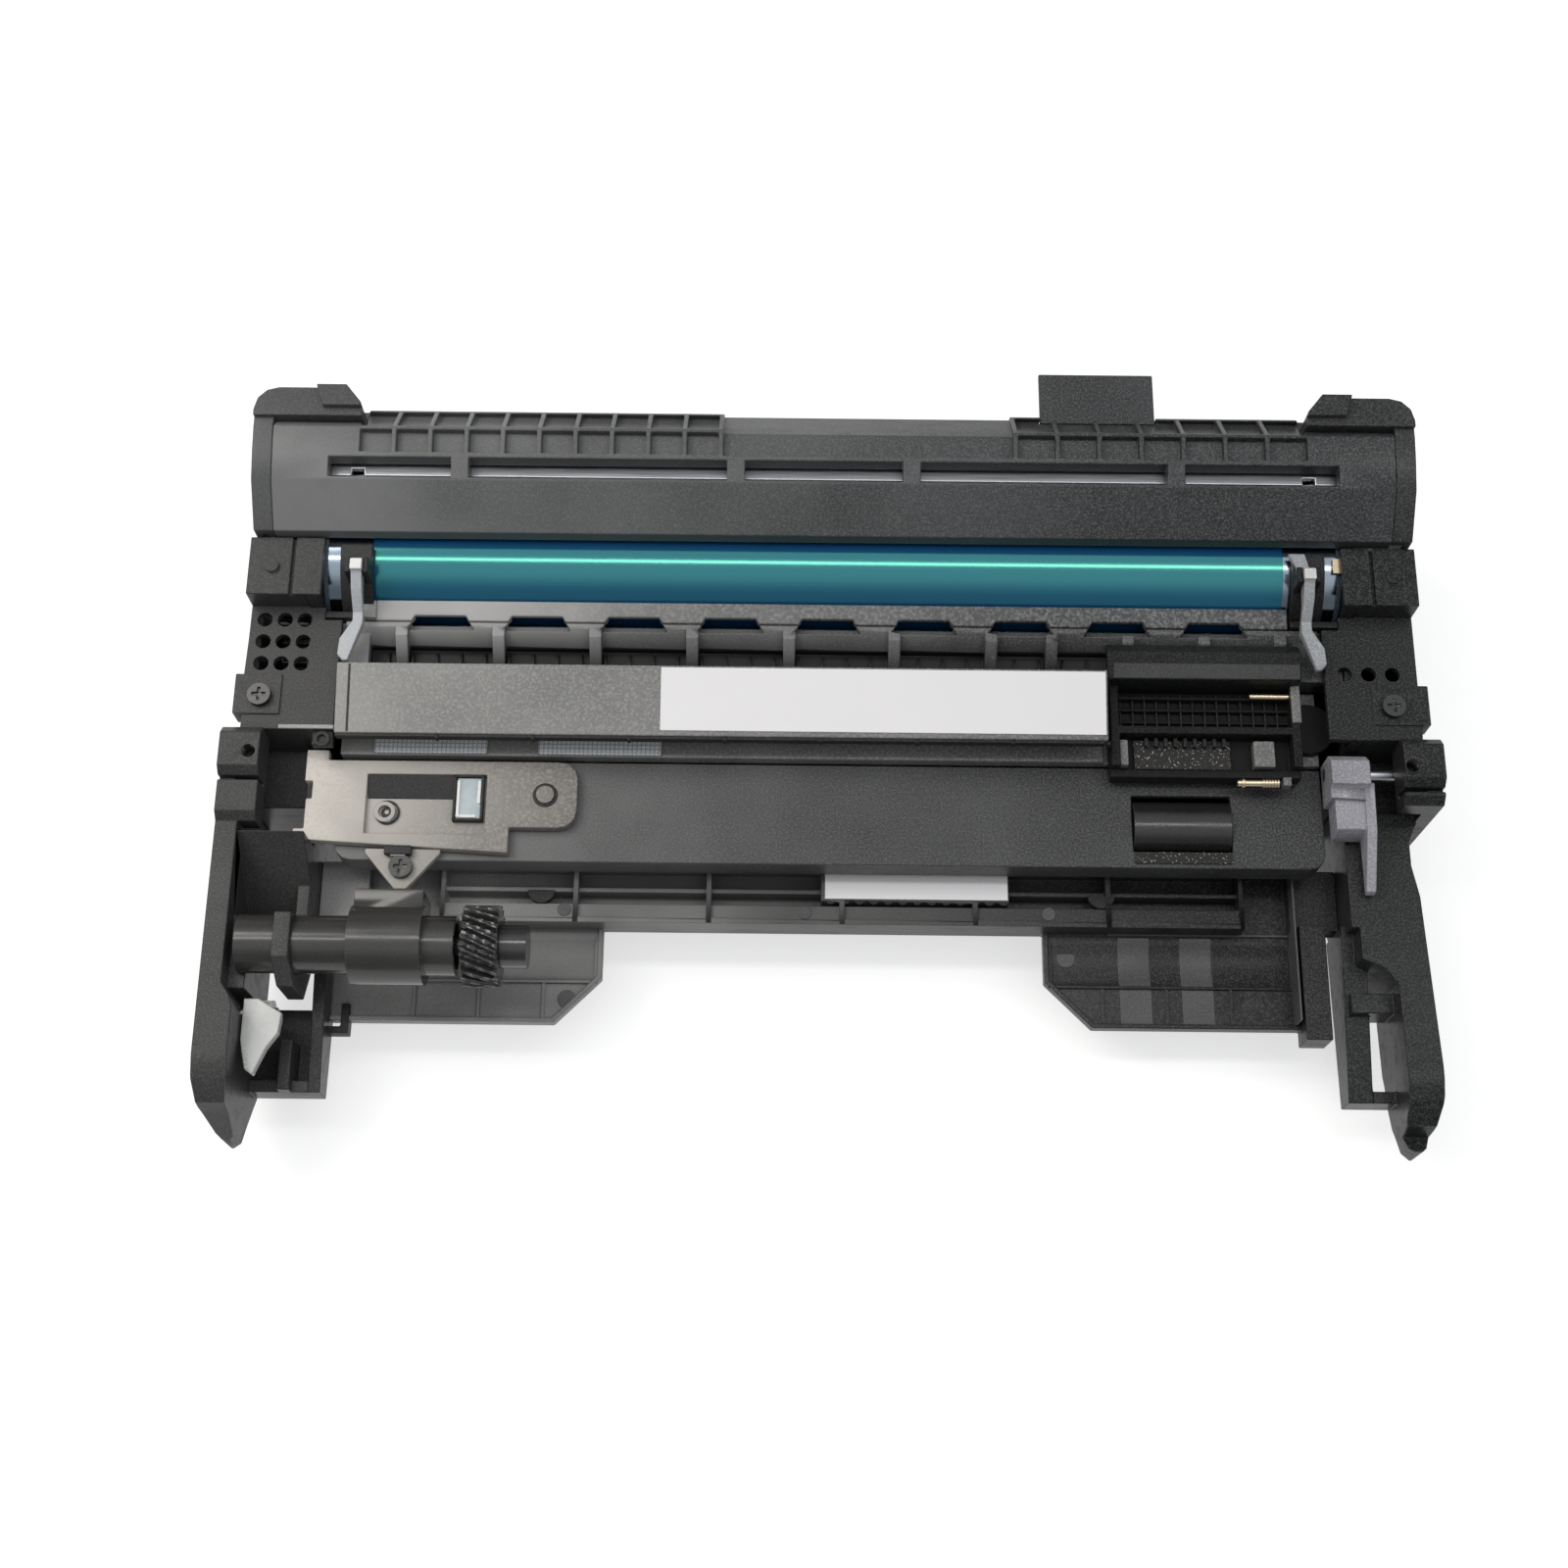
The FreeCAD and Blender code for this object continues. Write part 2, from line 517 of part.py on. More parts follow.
def make_drum():
    outer = rod("tube_outer", "x", DRUM, "drum_radius", "-drum_half", "drum_half")
    bore = rod("tube_bore_tool", "x", DRUM, "drum_radius - drum_wall", "-drum_half - 1", "drum_half + 1")
    node("drum_tube", cut("drum_tube", outer, [bore]))
    gear("drum_gear", "drum_teeth", DRUM, "axle_radius", TURNS["drum"])
    bushes = []
    for label, side in SIDES:
        plug = rod(label + "_plug", "x", DRUM, "drum_radius - drum_wall - fit",
                   *span(side, "drum_half - flange_depth", "drum_half"))
        rim = rod(label + "_rim", "x", DRUM, "drum_radius",
                  *span(side, "drum_half", "drum_half + flange_rim"))
        eye = rod(label + "_eye", "x", DRUM, "axle_radius + fit",
                  *span(side, "drum_half - flange_depth - 1", "drum_half + flange_rim + 1"))
        name = "drum_flange" if side < 0 else "drum_hub"
        node(name, cut(name, fuse(name + "_body", [plug, rim]), [eye]))
        bush = rod(label + "_bush", "x", DRUM, "bush_radius - fit", *span(side, "inner_half", "plate_out"))
        collar = rod(label + "_bush_rim", "x", DRUM, "bush_radius + bush_rim",
                     *span(side, "plate_out", "plate_out + 1"))
        bore = rod(label + "_bush_bore", "x", DRUM, "axle_radius + fit",
                   *span(side, "inner_half - 1", "plate_out + 2"))
        bushes.append(cut(label + "_bush", fuse(label + "_bush_body", [bush, collar]), [bore]))
    node("drum_bushes", group("drum_bushes", bushes))
    low = "-(gear_start + gear_width + axle_end)"
    node("drum_axle", rod("drum_axle", "x", DRUM, "axle_radius", low, "plate_out + 4"))


# Side frames: inner plate, arm, clip blocks, bridge and lower bracket, moulded in one

def plate_points():
    return [("-plate_front", "toe_z"), ("-heel_front", "0"), ("heel_back", "0"),
            ("back_y - wall - fit", "back_foot_z"),
            ("back_y - wall - fit", "back_z - cover_wall"), ("cap_front", "back_z - 1.2"),
            ("ridge_y - 1", "ridge_z - cover_wall - 2"),
            ("brow_y + 1", "brow_z - cover_wall - fit"), ("lip_y + 3", "lip_top - 2 - fit"),
            ("lip_y + 3", "lip_low - fit"), ("step_y", "lip_low - fit"), ("step_y", "plate_mid_top"),
            ("cover_front", "plate_mid_top"), ("cover_front", "plate_low_top"),
            ("-plate_front", "plate_low_top")]


def left_arm_points(inset):
    """Outline of the left arm from above: a straight band that ends in a round lobe."""
    return [("arm_face - %s" % inset, "-left_block_front + 1"),
            ("arm_face - %s" % inset, "-lobe_front"),
            ("arm_face - 0.6 - %s" % inset, "-(arm_front - 6)"),
            ("arm_face - 2.5 - %s" % inset, "-(arm_front - 2) + %s" % inset),
            ("arm_face - 4.5", "-arm_front + %s" % inset),
            ("arm_face - 6.5 + %s" % inset, "-(arm_front - 1.5) + %s" % inset),
            ("arm_face - left_lobe_width + %s" % inset, "-lobe_front"),
            ("arm_face - left_lobe_width + %s" % inset, "-(left_lobe_back + 3)"),
            ("arm_face - left_lobe_width + 0.9 + %s" % inset, "-left_lobe_back"),
            ("arm_face - left_arm_width + %s" % inset, "-(left_lobe_back - 3)"),
            ("arm_face - left_arm_width + %s" % inset, "-left_block_front + 1")]


def right_arm_points(inset):
    """Outline of the right arm from above: a wide root, a waist and a paddle at the tip."""
    return [("arm_face - 1.5", "-(right_block_front - 2.5) - %s" % inset),
            ("arm_face - right_waist + 1.5 - %s" % inset, "-(right_block_front + 1)"),
            ("arm_face - right_waist - %s" % inset, "-(right_block_front + 5)"),
            ("arm_face - right_waist - %s" % inset, "-(right_block_front + 11)"),
            ("arm_face - 4 - %s" % inset, "-(right_block_front + 19)"),
            ("arm_face - 3 - %s" % inset, "-(right_block_front + 40)"),
            ("arm_face - 2.2 - %s" % inset, "-(arm_front - 20)"),
            ("arm_face - 2.2 - %s" % inset, "-(arm_front - 13)"),
            ("arm_face - 3.4 - %s" % inset, "-(arm_front - 6)"),
            ("arm_face - 5.2 - %s" % inset, "-(arm_front - 2) + %s" % inset),
            ("arm_face - 7.5", "-arm_front + %s" % inset),
            ("arm_face - 9.6 + %s" % inset, "-(arm_front - 2) + %s" % inset),
            ("arm_face - 10.8 + %s" % inset, "-(arm_front - 8)"),
            ("arm_face - 2.2 - right_arm_width + %s" % inset, "-(arm_front - 19)"),
            ("arm_face - 2.6 - right_arm_width + %s" % inset, "-(right_roof_front + 6)"),
            ("plate_out + 4 + %s" % inset, "-(right_roof_front + 2) + %s" % inset),
            ("plate_out - 1 + %s" % inset, "-right_roof_front + %s" % inset),
            ("plate_out - 1 + %s" % inset, "-(right_block_front - 2.5) - %s" % inset)]


def make_arm(label, side):
    """Moulded arm, open below: its outline from above, limited by its side view."""
    top = label + "_arm_top"
    points = left_arm_points if side < 0 else right_arm_points
    block = slab(label + "_arm_block", mirrored(side, points("0")), "arm_low", top)
    hollow = slab(label + "_arm_hollow", mirrored(side, points("arm_skin")), "arm_low - 1",
                  top + " - arm_skin")
    view = [("0", "arm_low"), ("0", top)]
    view += bend("-(arm_front - tip_radius - 5)", top + " - tip_radius", "tip_radius", 90, 180)
    view += [("-(arm_front - 1)", "tip_z + 2"), ("-arm_front", "tip_z - 6"),
             ("-(arm_front - 6)", "tip_z - 7"),
             ("-(arm_front - 22)", "arm_low + 1")]
    limit = run(label + "_arm_view", view, *span(side, "inner_half", "arm_face + 1"))
    inner_view = [("0", "arm_low - 2"), ("0", top)]
    inner_view += bend("-(arm_front - tip_radius - 5)", top + " - tip_radius", "tip_radius - arm_skin", 90,
                       180)
    inner_view += [("-(arm_front - 8)", "tip_z - 8"), ("-(arm_front - 22)", "arm_low - 2")]
    inner_limit = run(label + "_arm_inner", inner_view, *span(side, "inner_half", "arm_face + 1"))
    return cut(label + "_arm", common(label + "_arm_solid", block, limit),
               [common(label + "_arm_pocket", hollow, inner_limit)])


def make_side_frame(label, side):
    front = label + "_block_front"
    body = [run(label + "_plate", plate_points(), *span(side, "inner_half", "plate_out")),
            make_arm(label, side)]
    heel = [("-" + front, "arm_low"), ("clip_block_back", "arm_low - 4"),
            ("clip_block_back", "clip_block_top - 4"), ("-" + front, "clip_block_top - 4")]
    body.append(run(label + "_heel", heel, *span(side, "arm_face - arm_wall", "arm_face")))
    fore = [("-" + front, "clip_block_top - 8"), ("-(clip_block_split + 1)", "clip_block_top - 8"),
            ("-(clip_block_split + 1)", "clip_block_top - 2"), ("-(%s - 2)" % front, "clip_block_top - 2"),
            ("-" + front, "clip_block_top - 4")]
    rear = [("-clip_block_split", "clip_block_top - 8"), ("clip_block_back", "clip_block_top - 8"),
            ("clip_block_back", "clip_block_top - 2"), ("clip_block_back - 2", "clip_block_top"),
            ("-(clip_block_split - 2)", "clip_block_top"), ("-clip_block_split", "clip_block_top - 2")]
    body.append(run(label + "_fore_block", fore, *span(side, "arm_face - clip_block_width", "arm_face")))
    body.append(run(label + "_rear_block", rear, *span(side, "arm_face - clip_block_width", "arm_face")))
    web = [("-" + front, "clip_block_top - 10"), ("clip_block_back", "clip_block_top - 10"),
           ("clip_block_back", "clip_block_top - 8"), ("-" + front, "clip_block_top - 8")]
    body.append(run(label + "_web", web, *span(side, "arm_face - clip_block_width", "arm_face")))
    return body


def make_left_frame():
    body = make_side_frame("left", -1)
    bridge = [("-plate_front", "bridge_low"), ("-bridge_back", "bridge_low"), ("-bridge_back", "bridge_top"),
              ("-plate_front", "bridge_front_low")]
    body.append(run("left_bridge", bridge, "-(arm_face - left_arm_width + 1)", "-inner_half"))
    strip_front = "-(plate_front + strip_length)"
    ledge = [(strip_front, "bridge_low"), ("-plate_front + 1", "bridge_low"),
             ("-plate_front + 1", "bridge_front_low"), ("-(plate_front + 2)", "bridge_top - 5"),
             (strip_front, "bridge_top - 5")]
    body.append(run("left_strip", ledge, "-(arm_face - left_arm_width + 1)",
                    "-(arm_face - left_arm_width - 4)"))
    ring = [("-(plate_front + 20)", "bracket_top + 2"), ("-plate_front", "bridge_low"),
            ("-plate_front", "bridge_front_low"), ("-(plate_front + 4)", "tube_z + tube_radius - 1"),
            ("-(plate_front + 15)", "tube_z + tube_radius - 1"), ("-(plate_front + 20)", "tube_z")]
    body.append(run("left_ring", ring, "-(plate_out + 1)", "-inner_half"))
    body += bracket("left", -1)
    floor = box("left_bracket_floor",
                ("-(arm_face - left_lobe_width + 1)", "-(plate_out - left_bracket_in + 1)"),
                ("-bracket_front", "-(plate_front + strip_length - 1)"),
                ("arm_low + 4", "arm_low + 4 + bracket_floor"))
    lobe = box("left_bracket_lobe", ("-(plate_out + bracket_wall)", "-plate_out"),
               ("-bracket_front", "-(left_latch_y + 4)"), ("arm_low + 4", "bracket_top - 3"))
    body += [floor, lobe]
    eye = rod("left_tube_eye", "x", TUBE, "tube_collar + fit", "-(tube_left + slack)", "-(inner_half - 2)")
    pin = rod("left_latch_hole", "x", ("-left_latch_y", "left_latch_z"), "latch_pin + fit",
              "-(arm_face + 1)", "-(arm_face - left_lobe_width - 1)")
    holes = shaft_holes("left", -1)
    tools = [eye, pin] + holes + block_holes("left", -1)
    node("left_side_frame", cut("left_side_frame", fuse("left_frame_body", body), tools, refine=False))


def make_right_frame():
    body = make_side_frame("right", 1)
    bar = box("right_bar", ("plate_out - right_bracket_in + 1", "arm_face - right_arm_width - 1"),
              ("-(plate_front + strip_length)", "-(plate_front + strip_length - 5)"),
              ("bridge_low + 2", "bracket_top"))
    body.append(bar)
    body += bracket("right", 1)
    pin = rod("right_latch_hole", "x", ("-right_latch_y", "right_latch_z"), "latch_pin + fit",
              "plate_out + 5", "arm_face + 1")
    node("right_side_frame", cut("right_side_frame", fuse("right_frame_body", body), [pin]
                                 + shaft_holes("right", 1) + block_holes("right", 1)))


def bracket(label, side):
    """Lower bracket between the plate and the arm: a wall and the ties across its front."""
    near = "plate_out - %s_bracket_in" % label
    far = near + " + %s_bracket_width" % label
    lobe = "left_lobe_width" if side < 0 else "right_arm_width + 2"
    link = [("-bracket_front", "arm_low + 4"), ("-(plate_front - 2)", "toe_z"),
            ("-(plate_front - 2)", "bracket_top"),
            ("-bracket_front", "bracket_top - 6")]
    wall = run(label + "_bracket_wall", link, *span(side, near, far))
    cross = [("-bracket_front", "arm_low + 4"), ("-(bracket_front - bracket_wall)", "arm_low + 4"),
             ("-(bracket_front - bracket_wall)", "bracket_top - 6"), ("-bracket_front", "bracket_top - 6")]
    tie = run(label + "_bracket_tie", cross, *span(side, near + " + 1", "arm_face - (%s) + 1" % lobe))
    return [wall, tie]


def shaft_holes(label, side):
    """Bores in the inner plate for the axle, rollers and screws."""
    bounds = span(side, "inner_half - 1", "plate_out + 1")
    places = (("axle", DRUM, "bush_radius"), ("roller", ROLLER, "roller_shaft + fit"),
              ("mixer", BACK_MIXER, "mixer_shaft + fit"), ("rear", FRONT_MIXER, "mixer_shaft + fit"),
              ("screw", WASTE, "waste_shaft + fit"), ("wiper", WIPER, "wiper_shaft + fit"))
    holes = []
    for name, centre, radius in places:
        holes.append(rod("%s_%s_hole" % (label, name), "x", centre, radius, *bounds))
    if side < 0:
        holes.append(rod("idler_pin_hole", "x", IDLER, "mixer_shaft", *bounds))
    return holes


def block_holes(label, side):
    """Locating hole in the top of the rear clip block."""
    place = at(side, "arm_face - %s_hole_in" % label)
    hole = rod(label + "_locating_hole", "z", (place, "-%s_hole_y" % label), "locating_hole",
               "clip_block_top - locating_depth", "clip_block_top + 1")
    return [hole]


# Gear cover on the left and bearing cover on the right

def side_cover_points(inset):
    return [("-skirt_front + %s" % inset, "cover_floor + %s" % inset),
            ("-skirt_front + %s" % inset, "skirt_top - %s" % inset),
            ("cover_front + %s" % inset, "skirt_top + 4 - %s" % inset),
            ("cover_front + %s" % inset, "cover_deck - %s" % inset),
            ("step_y + %s" % inset, "cover_deck - %s" % inset),
            ("step_y + %s" % inset, "step_top - %s" % inset)]


def make_side_cover(label, side):
    back = "step_back - fit"
    face = "arm_face - arm_wall"
    outer = side_cover_points("0") + [(back, "step_top"), (back, "cover_floor")]
    inner = side_cover_points("wall") + [("step_back + 1", "step_top - wall"),
                                         ("step_back + 1", "cover_floor + wall")]
    shell = run(label + "_cover_shell", outer, *span(side, "plate_out", face))
    hollow = run(label + "_cover_hollow", inner, *span(side, "plate_out - 1", face + " - gear_cover_wall"))
    flange = [("cover_front", "plate_mid_top + fit"), ("cover_front", "cover_deck"), ("step_y", "cover_deck"),
              ("step_y", "plate_mid_top + fit")]
    roof = run(label + "_cover_flange", flange, *span(side, "inner_half - 1", "plate_out + 1"))
    lid = [("step_y", "lip_low"), ("step_y", "step_top"), (back, "step_top"), (back, "lip_low")]
    brow = run(label + "_cover_brow", lid, *span(side, "inner_half - 1", "plate_out + 1"))
    inner_ledge = box(label + "_inner_ledge", span(side, "panel_left + slack", "plate_out + 1"),
                      ("cover_front", "ledge_inner_back"), ("cover_deck - ledge_top", "cover_deck"))
    rest = box(label + "_screw_rest", span(side, "plate_out + %s_rest_gap" % label, face + " + rest_out"),
               ("rest_front", "rest_back"), ("cover_deck - 6", "cover_deck + 0.6"))
    dowel = rod(label + "_dowel", "z", (at(side, "plate_out + dowel_gap"), "dowel_y"), "dowel_radius",
                "step_top - wall", "step_top + dowel_rise")
    seam = box(label + "_seam", span(side, "plate_out + seam_gap", "plate_out + seam_gap + seam_width"),
               ("step_y - 1", "step_back + 1"), ("step_top - seam_depth", "step_top + 1"))
    solids = [cut(label + "_cover_open", shell, [hollow]), roof, brow, inner_ledge, rest, dowel]
    tools = [seam]
    rows = 3 if side < 0 else 1
    pitch = "hole_pitch_x" if side < 0 else "right_hole_pitch"
    for i in range(3):
        for k in range(rows):
            x_text = "plate_out + %s_holes_gap + %d * %s" % (label, i, pitch)
            y_text = "holes_y + %d * hole_pitch_y" % k
            tools.append(rod("%s_blind_%d_%d" % (label, i, k), "z", (at(side, x_text), y_text),
                             "blind_hole", "cover_deck - blind_depth", "cover_deck + 1"))
    tools.append(rod(label + "_rest_hole", "z", (at(side, "plate_out + %s_screw_gap" % label), "screw_y"),
                     "shank_radius + fit", "cover_deck - 7", "cover_deck + 1"))
    name = "left_gear_cover" if side < 0 else "right_bearing_cover"
    node(name, cut(name, fuse(name + "_body", solids), tools))


# Cleaner housing: ribbed and slotted cover, end caps, back tab, waste trough

def cover_outer():
    return [("lip_y", "lip_low"), ("lip_y", "lip_top"), ("brow_y", "brow_z"), ("shelf_y", "shelf_z"),
            ("ridge_y", "ridge_z"), ("back_y", "back_z"), ("back_y", "cover_low")]


def cover_inner():
    return [("back_y - wall", "cover_low"), ("back_y - wall", "back_z - cover_wall + 1"),
            ("ridge_y", "ridge_z - cover_wall - 1.8"), ("brow_y + 1", "brow_z - cover_wall"),
            ("lip_y + 3", "lip_top - 2"), ("lip_y + wall", "lip_top - 2"), ("lip_y + wall", "lip_low")]


def make_cleaner_cover():
    shell = run("cover_shell", cover_outer() + cover_inner(), "-cover_half", "cover_half")
    front = [("shelf_y", "shelf_z + 2"), ("shelf_y", "shelf_z - cell_depth"),
             ("ridge_y - ridge_wall / 2", "ridge_z - cell_depth"),
             ("ridge_y - ridge_wall / 2", "ridge_z + 2")]
    back = [("ridge_y + ridge_wall / 2", "ridge_z + 2"),
            ("ridge_y + ridge_wall / 2", "ridge_z - cell_depth - 0.6"),
            ("cells_back", "back_z - cell_depth + 0.8"), ("cells_back", "ridge_z + 2")]
    tools = []
    for name, first, pitch, count in (("left", "cells_left_x", "cells_left_pitch", "cells_left_count"),
                                      ("right", "cells_right_x", "cells_right_pitch", "cells_right_count")):
        for part, points in (("front", front), ("back", back)):
            low = "%s + rib / 2" % first
            cell = run("%s_%s_cell" % (name, part), points, low, "%s + %s - rib / 2" % (first, pitch))
            tools.append(row(cell, pitch, "%s - 1" % count))
    middle = [("shelf_y", "shelf_z + 2"), ("shelf_y", "shelf_z - cell_depth + 0.6"),
              ("ridge_y", "ridge_z - cell_depth"),
              ("back_y + 1", "back_z - cell_depth - 0.2"), ("back_y + 1", "ridge_z + 2")]
    left_end = "cells_left_x + cells_left_pitch * (cells_left_count - 1) + rib / 2"
    tools.append(run("middle_recess", middle, left_end, "cells_right_x - rib / 2"))
    slots = (("-slot_end", "slot_one - slot_gap / 2"), ("slot_one + slot_gap / 2", "slot_two - slot_gap / 2"),
             ("slot_two + slot_gap / 2", "slot_three - slot_gap / 2"),
             ("slot_three + slot_gap / 2", "slot_four - slot_gap / 2"),
             ("slot_four + slot_gap / 2", "slot_end"))
    for i, bounds in enumerate(slots):
        tools.append(box("bar_slot_%d" % i, bounds, ("slot_front", "slot_back"), ("brow_z - 8", "ridge_z")))
    for label, side in SIDES:
        tools.append(box(label + "_cap_seat", span(side, "cover_half - cap_reach", "cover_half + 1"),
                         ("cap_front", "back_y + 1"), ("back_z - 1", "ridge_z + 1")))
    tools.append(box("tab_seat", ("tab_left - fit", "tab_right + fit"), ("back_y - 1.5", "back_y + 1"),
                     ("tab_z - 4", "back_z + 2")))
    node("cleaner_cover", cut("cleaner_cover", shell, tools))


def make_end_caps():
    for label, side in SIDES:
        outer = [("lip_y", "cover_floor"), ("lip_y", "lip_top"), ("brow_y", "brow_z"), ("shelf_y", "shelf_z"),
                 ("ridge_y", "ridge_z"), ("back_y", "ridge_z"), ("back_y", "skirt_low")]
        inner = [("step_back - 1", "cover_floor + wall"), ("step_back - 1", "lip_top - 3"),
                 ("brow_y + 1", "brow_z - cover_wall"), ("ridge_y", "ridge_z - cover_wall - 1.8"),
                 ("back_y - wall", "back_z - cover_wall + 1"), ("back_y - wall", "skirt_low + wall")]
        shell = run(label + "_cap_shell", outer, *span(side, "cover_half + fit", "cover_half + cap_thick"))
        hollow = run(label + "_cap_hollow", inner,
                     *span(side, "cover_half - 1", "cover_half + cap_thick - wall"))
        top = [("cover_half - cap_reach + cap_chamfer + fit", "back_y + 1")]
        top += bend("cover_half + cap_thick - cap_round", "back_y + 1 - cap_round", "cap_round", 90, 0)
        top += [("cover_half + cap_thick", "cap_front + fit"),
                ("cover_half - cap_reach + fit", "cap_front + fit"),
                ("cover_half - cap_reach + fit", "back_y - cap_chamfer")]
        crown = slab(label + "_cap_crown", mirrored(side, top), "back_z - 1 + fit", "cap_top")
        raised = [("cover_half - cap_box_in + cap_chamfer", "back_y + 1"),
                  ("cover_half - cap_box_out", "back_y + 1"),
                  ("cover_half - cap_box_out - 2", "cap_box_front"),
                  ("cover_half - cap_box_in + fit", "cap_box_front"),
                  ("cover_half - cap_box_in + fit", "back_y - cap_chamfer")]
        lid = slab(label + "_cap_box", mirrored(side, raised), "cap_top - 1", "cap_top + cap_box_rise")
        corner = slab(label + "_cap_corner",
                      mirrored(side, [("cover_half", "lip_y"), ("cover_half", "back_y + 1")]
                      + bend("cover_half + cap_thick - cap_round", "back_y + 1 - cap_round", "cap_round",
                             90, 0)
                      + [("cover_half + cap_thick", "lip_y")]), "cover_floor", "cap_top")
        wall_part = common(label + "_cap_round", cut(label + "_cap_wall", shell, [hollow]), corner)
        node(label + "_end_cap", fuse(label + "_end_cap", [wall_part, crown, lid]))


def make_waste_trough():
    floor = [("trough_front", "trough_floor"), ("back_y - wall - fit", "trough_floor"),
             ("back_y - wall - fit", "skirt_low"), ("back_y", "skirt_low"), ("back_y", "cover_low - fit"),
             ("back_y - wall", "cover_low - fit"), ("back_y - wall", "trough_floor + wall"),
             ("trough_front + wall", "trough_floor + wall"), ("trough_front + wall", "trough_lip"),
             ("trough_front", "trough_lip")]
    node("waste_trough", run("waste_trough", floor, "-(inner_half - fit)", "inner_half - fit"))


def make_tab():
    outline = [("tab_left", "back_y - 1.5 + fit"), ("tab_right", "back_y - 1.5 + fit"),
               ("tab_right", "tab_back"),
               ("tab_left", "tab_back")]
    node("rear_tab", slab("rear_tab", outline, "tab_z", "tab_z + tab_wall"))


def make_blade():
    leg = [("blade_back + fit", "blade_leg"), ("blade_back + fit + bracket_steel", "blade_leg"),
           ("blade_back + fit + bracket_steel", "blade_flange"),
           ("blade_back + fit + flange_width", "blade_flange"),
           ("blade_back + fit + flange_width", "blade_flange + bracket_steel"),
           ("blade_back + fit", "blade_flange + bracket_steel")]
    steel = run("bracket_bar", leg, "-(inner_half - fit)", "inner_half - fit")
    notches = []
    for label, side in SIDES:
        notches.append(box(label + "_bar_notch", span(side, "slot_end - 8", "slot_end - 5"),
                           ("blade_back", "blade_back + 2"), ("blade_flange - 1", "blade_flange + 3")))
    node("blade_bracket", cut("blade_bracket", steel, notches))
    rubber = [("blade_y", "blade_tip"), ("blade_back", "blade_tip"), ("blade_back", "blade_top"),
              ("blade_y", "blade_top")]
    node("cleaning_blade", run("cleaning_blade", rubber, "-blade_half", "blade_half"))


def make_waste_screw():
    body = turned("waste_screw", WASTE, [("-(gear_start + gear_width + axle_end)", "0"), ("plate_out", "0"),
                                         ("plate_out", "waste_shaft"),
                                         ("-(gear_start + gear_width + axle_end)", "waste_shaft")])
    doc.recompute()
    flight(body, WASTE, "-waste_half", "waste_shaft", "waste_reach", "1", "waste_pitch", "2 * waste_half - 4")
    node("waste_screw", body)
    gear("waste_gear", "waste_teeth", WASTE, "waste_shaft", TURNS["waste"])
    gear("idler_gear", "idler_teeth", IDLER, "mixer_shaft", TURNS["idler"])
    node("idler_pin", rod("idler_pin", "x", IDLER, "mixer_shaft", "-(gear_start + gear_width + axle_end)",
                          "-inner_half"))


# Charge unit under the cleaner

def make_charge():
    section = [("charge_front", "charge_floor"), ("charge_back + wall", "charge_floor"),
               ("charge_back + wall", "trough_floor - fit"), ("charge_back", "trough_floor - fit"),
               ("charge_back", "charge_floor + wall"), ("charge_front + wall", "charge_floor + wall"),
               ("charge_front + wall", "charge_floor + 5"), ("charge_front", "charge_floor + 5")]
    node("charge_housing", run("charge_housing", section, "-(inner_half - fit)", "inner_half - fit"))
    end = "bearing_x + bearing_width + 2"
    roller = turned("charge_roller", CHARGE, [("-(%s)" % end, "0"), (end, "0"), (end, "charge_shaft"),
                                              ("charge_half", "charge_shaft"),
                                              ("charge_half", "charge_radius"),
                                              ("-charge_half", "charge_radius"),
                                              ("-charge_half", "charge_shaft"),
                                              ("-(%s)" % end, "charge_shaft")])
    node("charge_roller", roller)
    wiper = turned("wiper_roller", WIPER,
                   [("-plate_out", "0"), ("plate_out", "0"), ("plate_out", "wiper_shaft"),
                    ("charge_half", "wiper_shaft"), ("charge_half", "wiper_radius"),
                    ("-charge_half", "wiper_radius"), ("-charge_half", "wiper_shaft"),
                    ("-plate_out", "wiper_shaft")])
    node("wiper_roller", wiper)
    bearings = []
    springs = []
    for label, side in SIDES:
        bounds = span(side, "bearing_x", "bearing_x + bearing_width")
        ring = rod(label + "_bearing_ring", "x", CHARGE, "bearing_out", *bounds)
        leg = box(label + "_bearing_leg", bounds, ("charge_y - 2", "charge_y + 2"),
                  ("charge_z - bearing_out - 1.5", "charge_z"))
        bore = rod(label + "_bearing_bore", "x", CHARGE, "charge_shaft + fit", *span(side, "bearing_x - 1",
                   "bearing_x + bearing_width + 1"))
        bearings.append(cut(label + "_bearing", fuse(label + "_bearing_body", [ring, leg]), [bore]))
        springs.append(coil(label + "_spring", at(side, "bearing_x + bearing_width / 2"), "charge_y",
                            "charge_floor + wall + spring_wire",
                            "charge_z - bearing_out - 1.5 - spring_wire"))
    node("charge_bearings", group("charge_bearings", bearings))
    node("charge_springs", group("charge_springs", springs))


def coil(name, x_text, y_text, low, high):
    """Compression spring standing along Z."""
    body = doc.addObject("PartDesign::Body", name)
    points = [("spring_radius - spring_wire", "0"), ("spring_radius", "-spring_wire"),
              ("spring_radius + spring_wire", "0"), ("spring_radius", "spring_wire")]
    outline = sketch(body, "XZ_Plane", points)
    bind(outline, "AttachmentOffset.Base.x", x_text)
    bind(outline, "AttachmentOffset.Base.y", low)
    bind(outline, "AttachmentOffset.Base.z", "-(%s)" % y_text)
    turns = body.newObject("PartDesign::AdditiveHelix", name + "_turns")
    turns.Profile = outline
    turns.ReferenceAxis = (outline, ["V_Axis"])
    turns.Mode = "pitch-height-angle"
    bind(turns, "Pitch", "spring_pitch")
    bind(turns, "Height", "(%s) - (%s)" % (high, low))
    return body


# Developer: housing with the front deck, roller, mixers, doctor blade, cover, guide

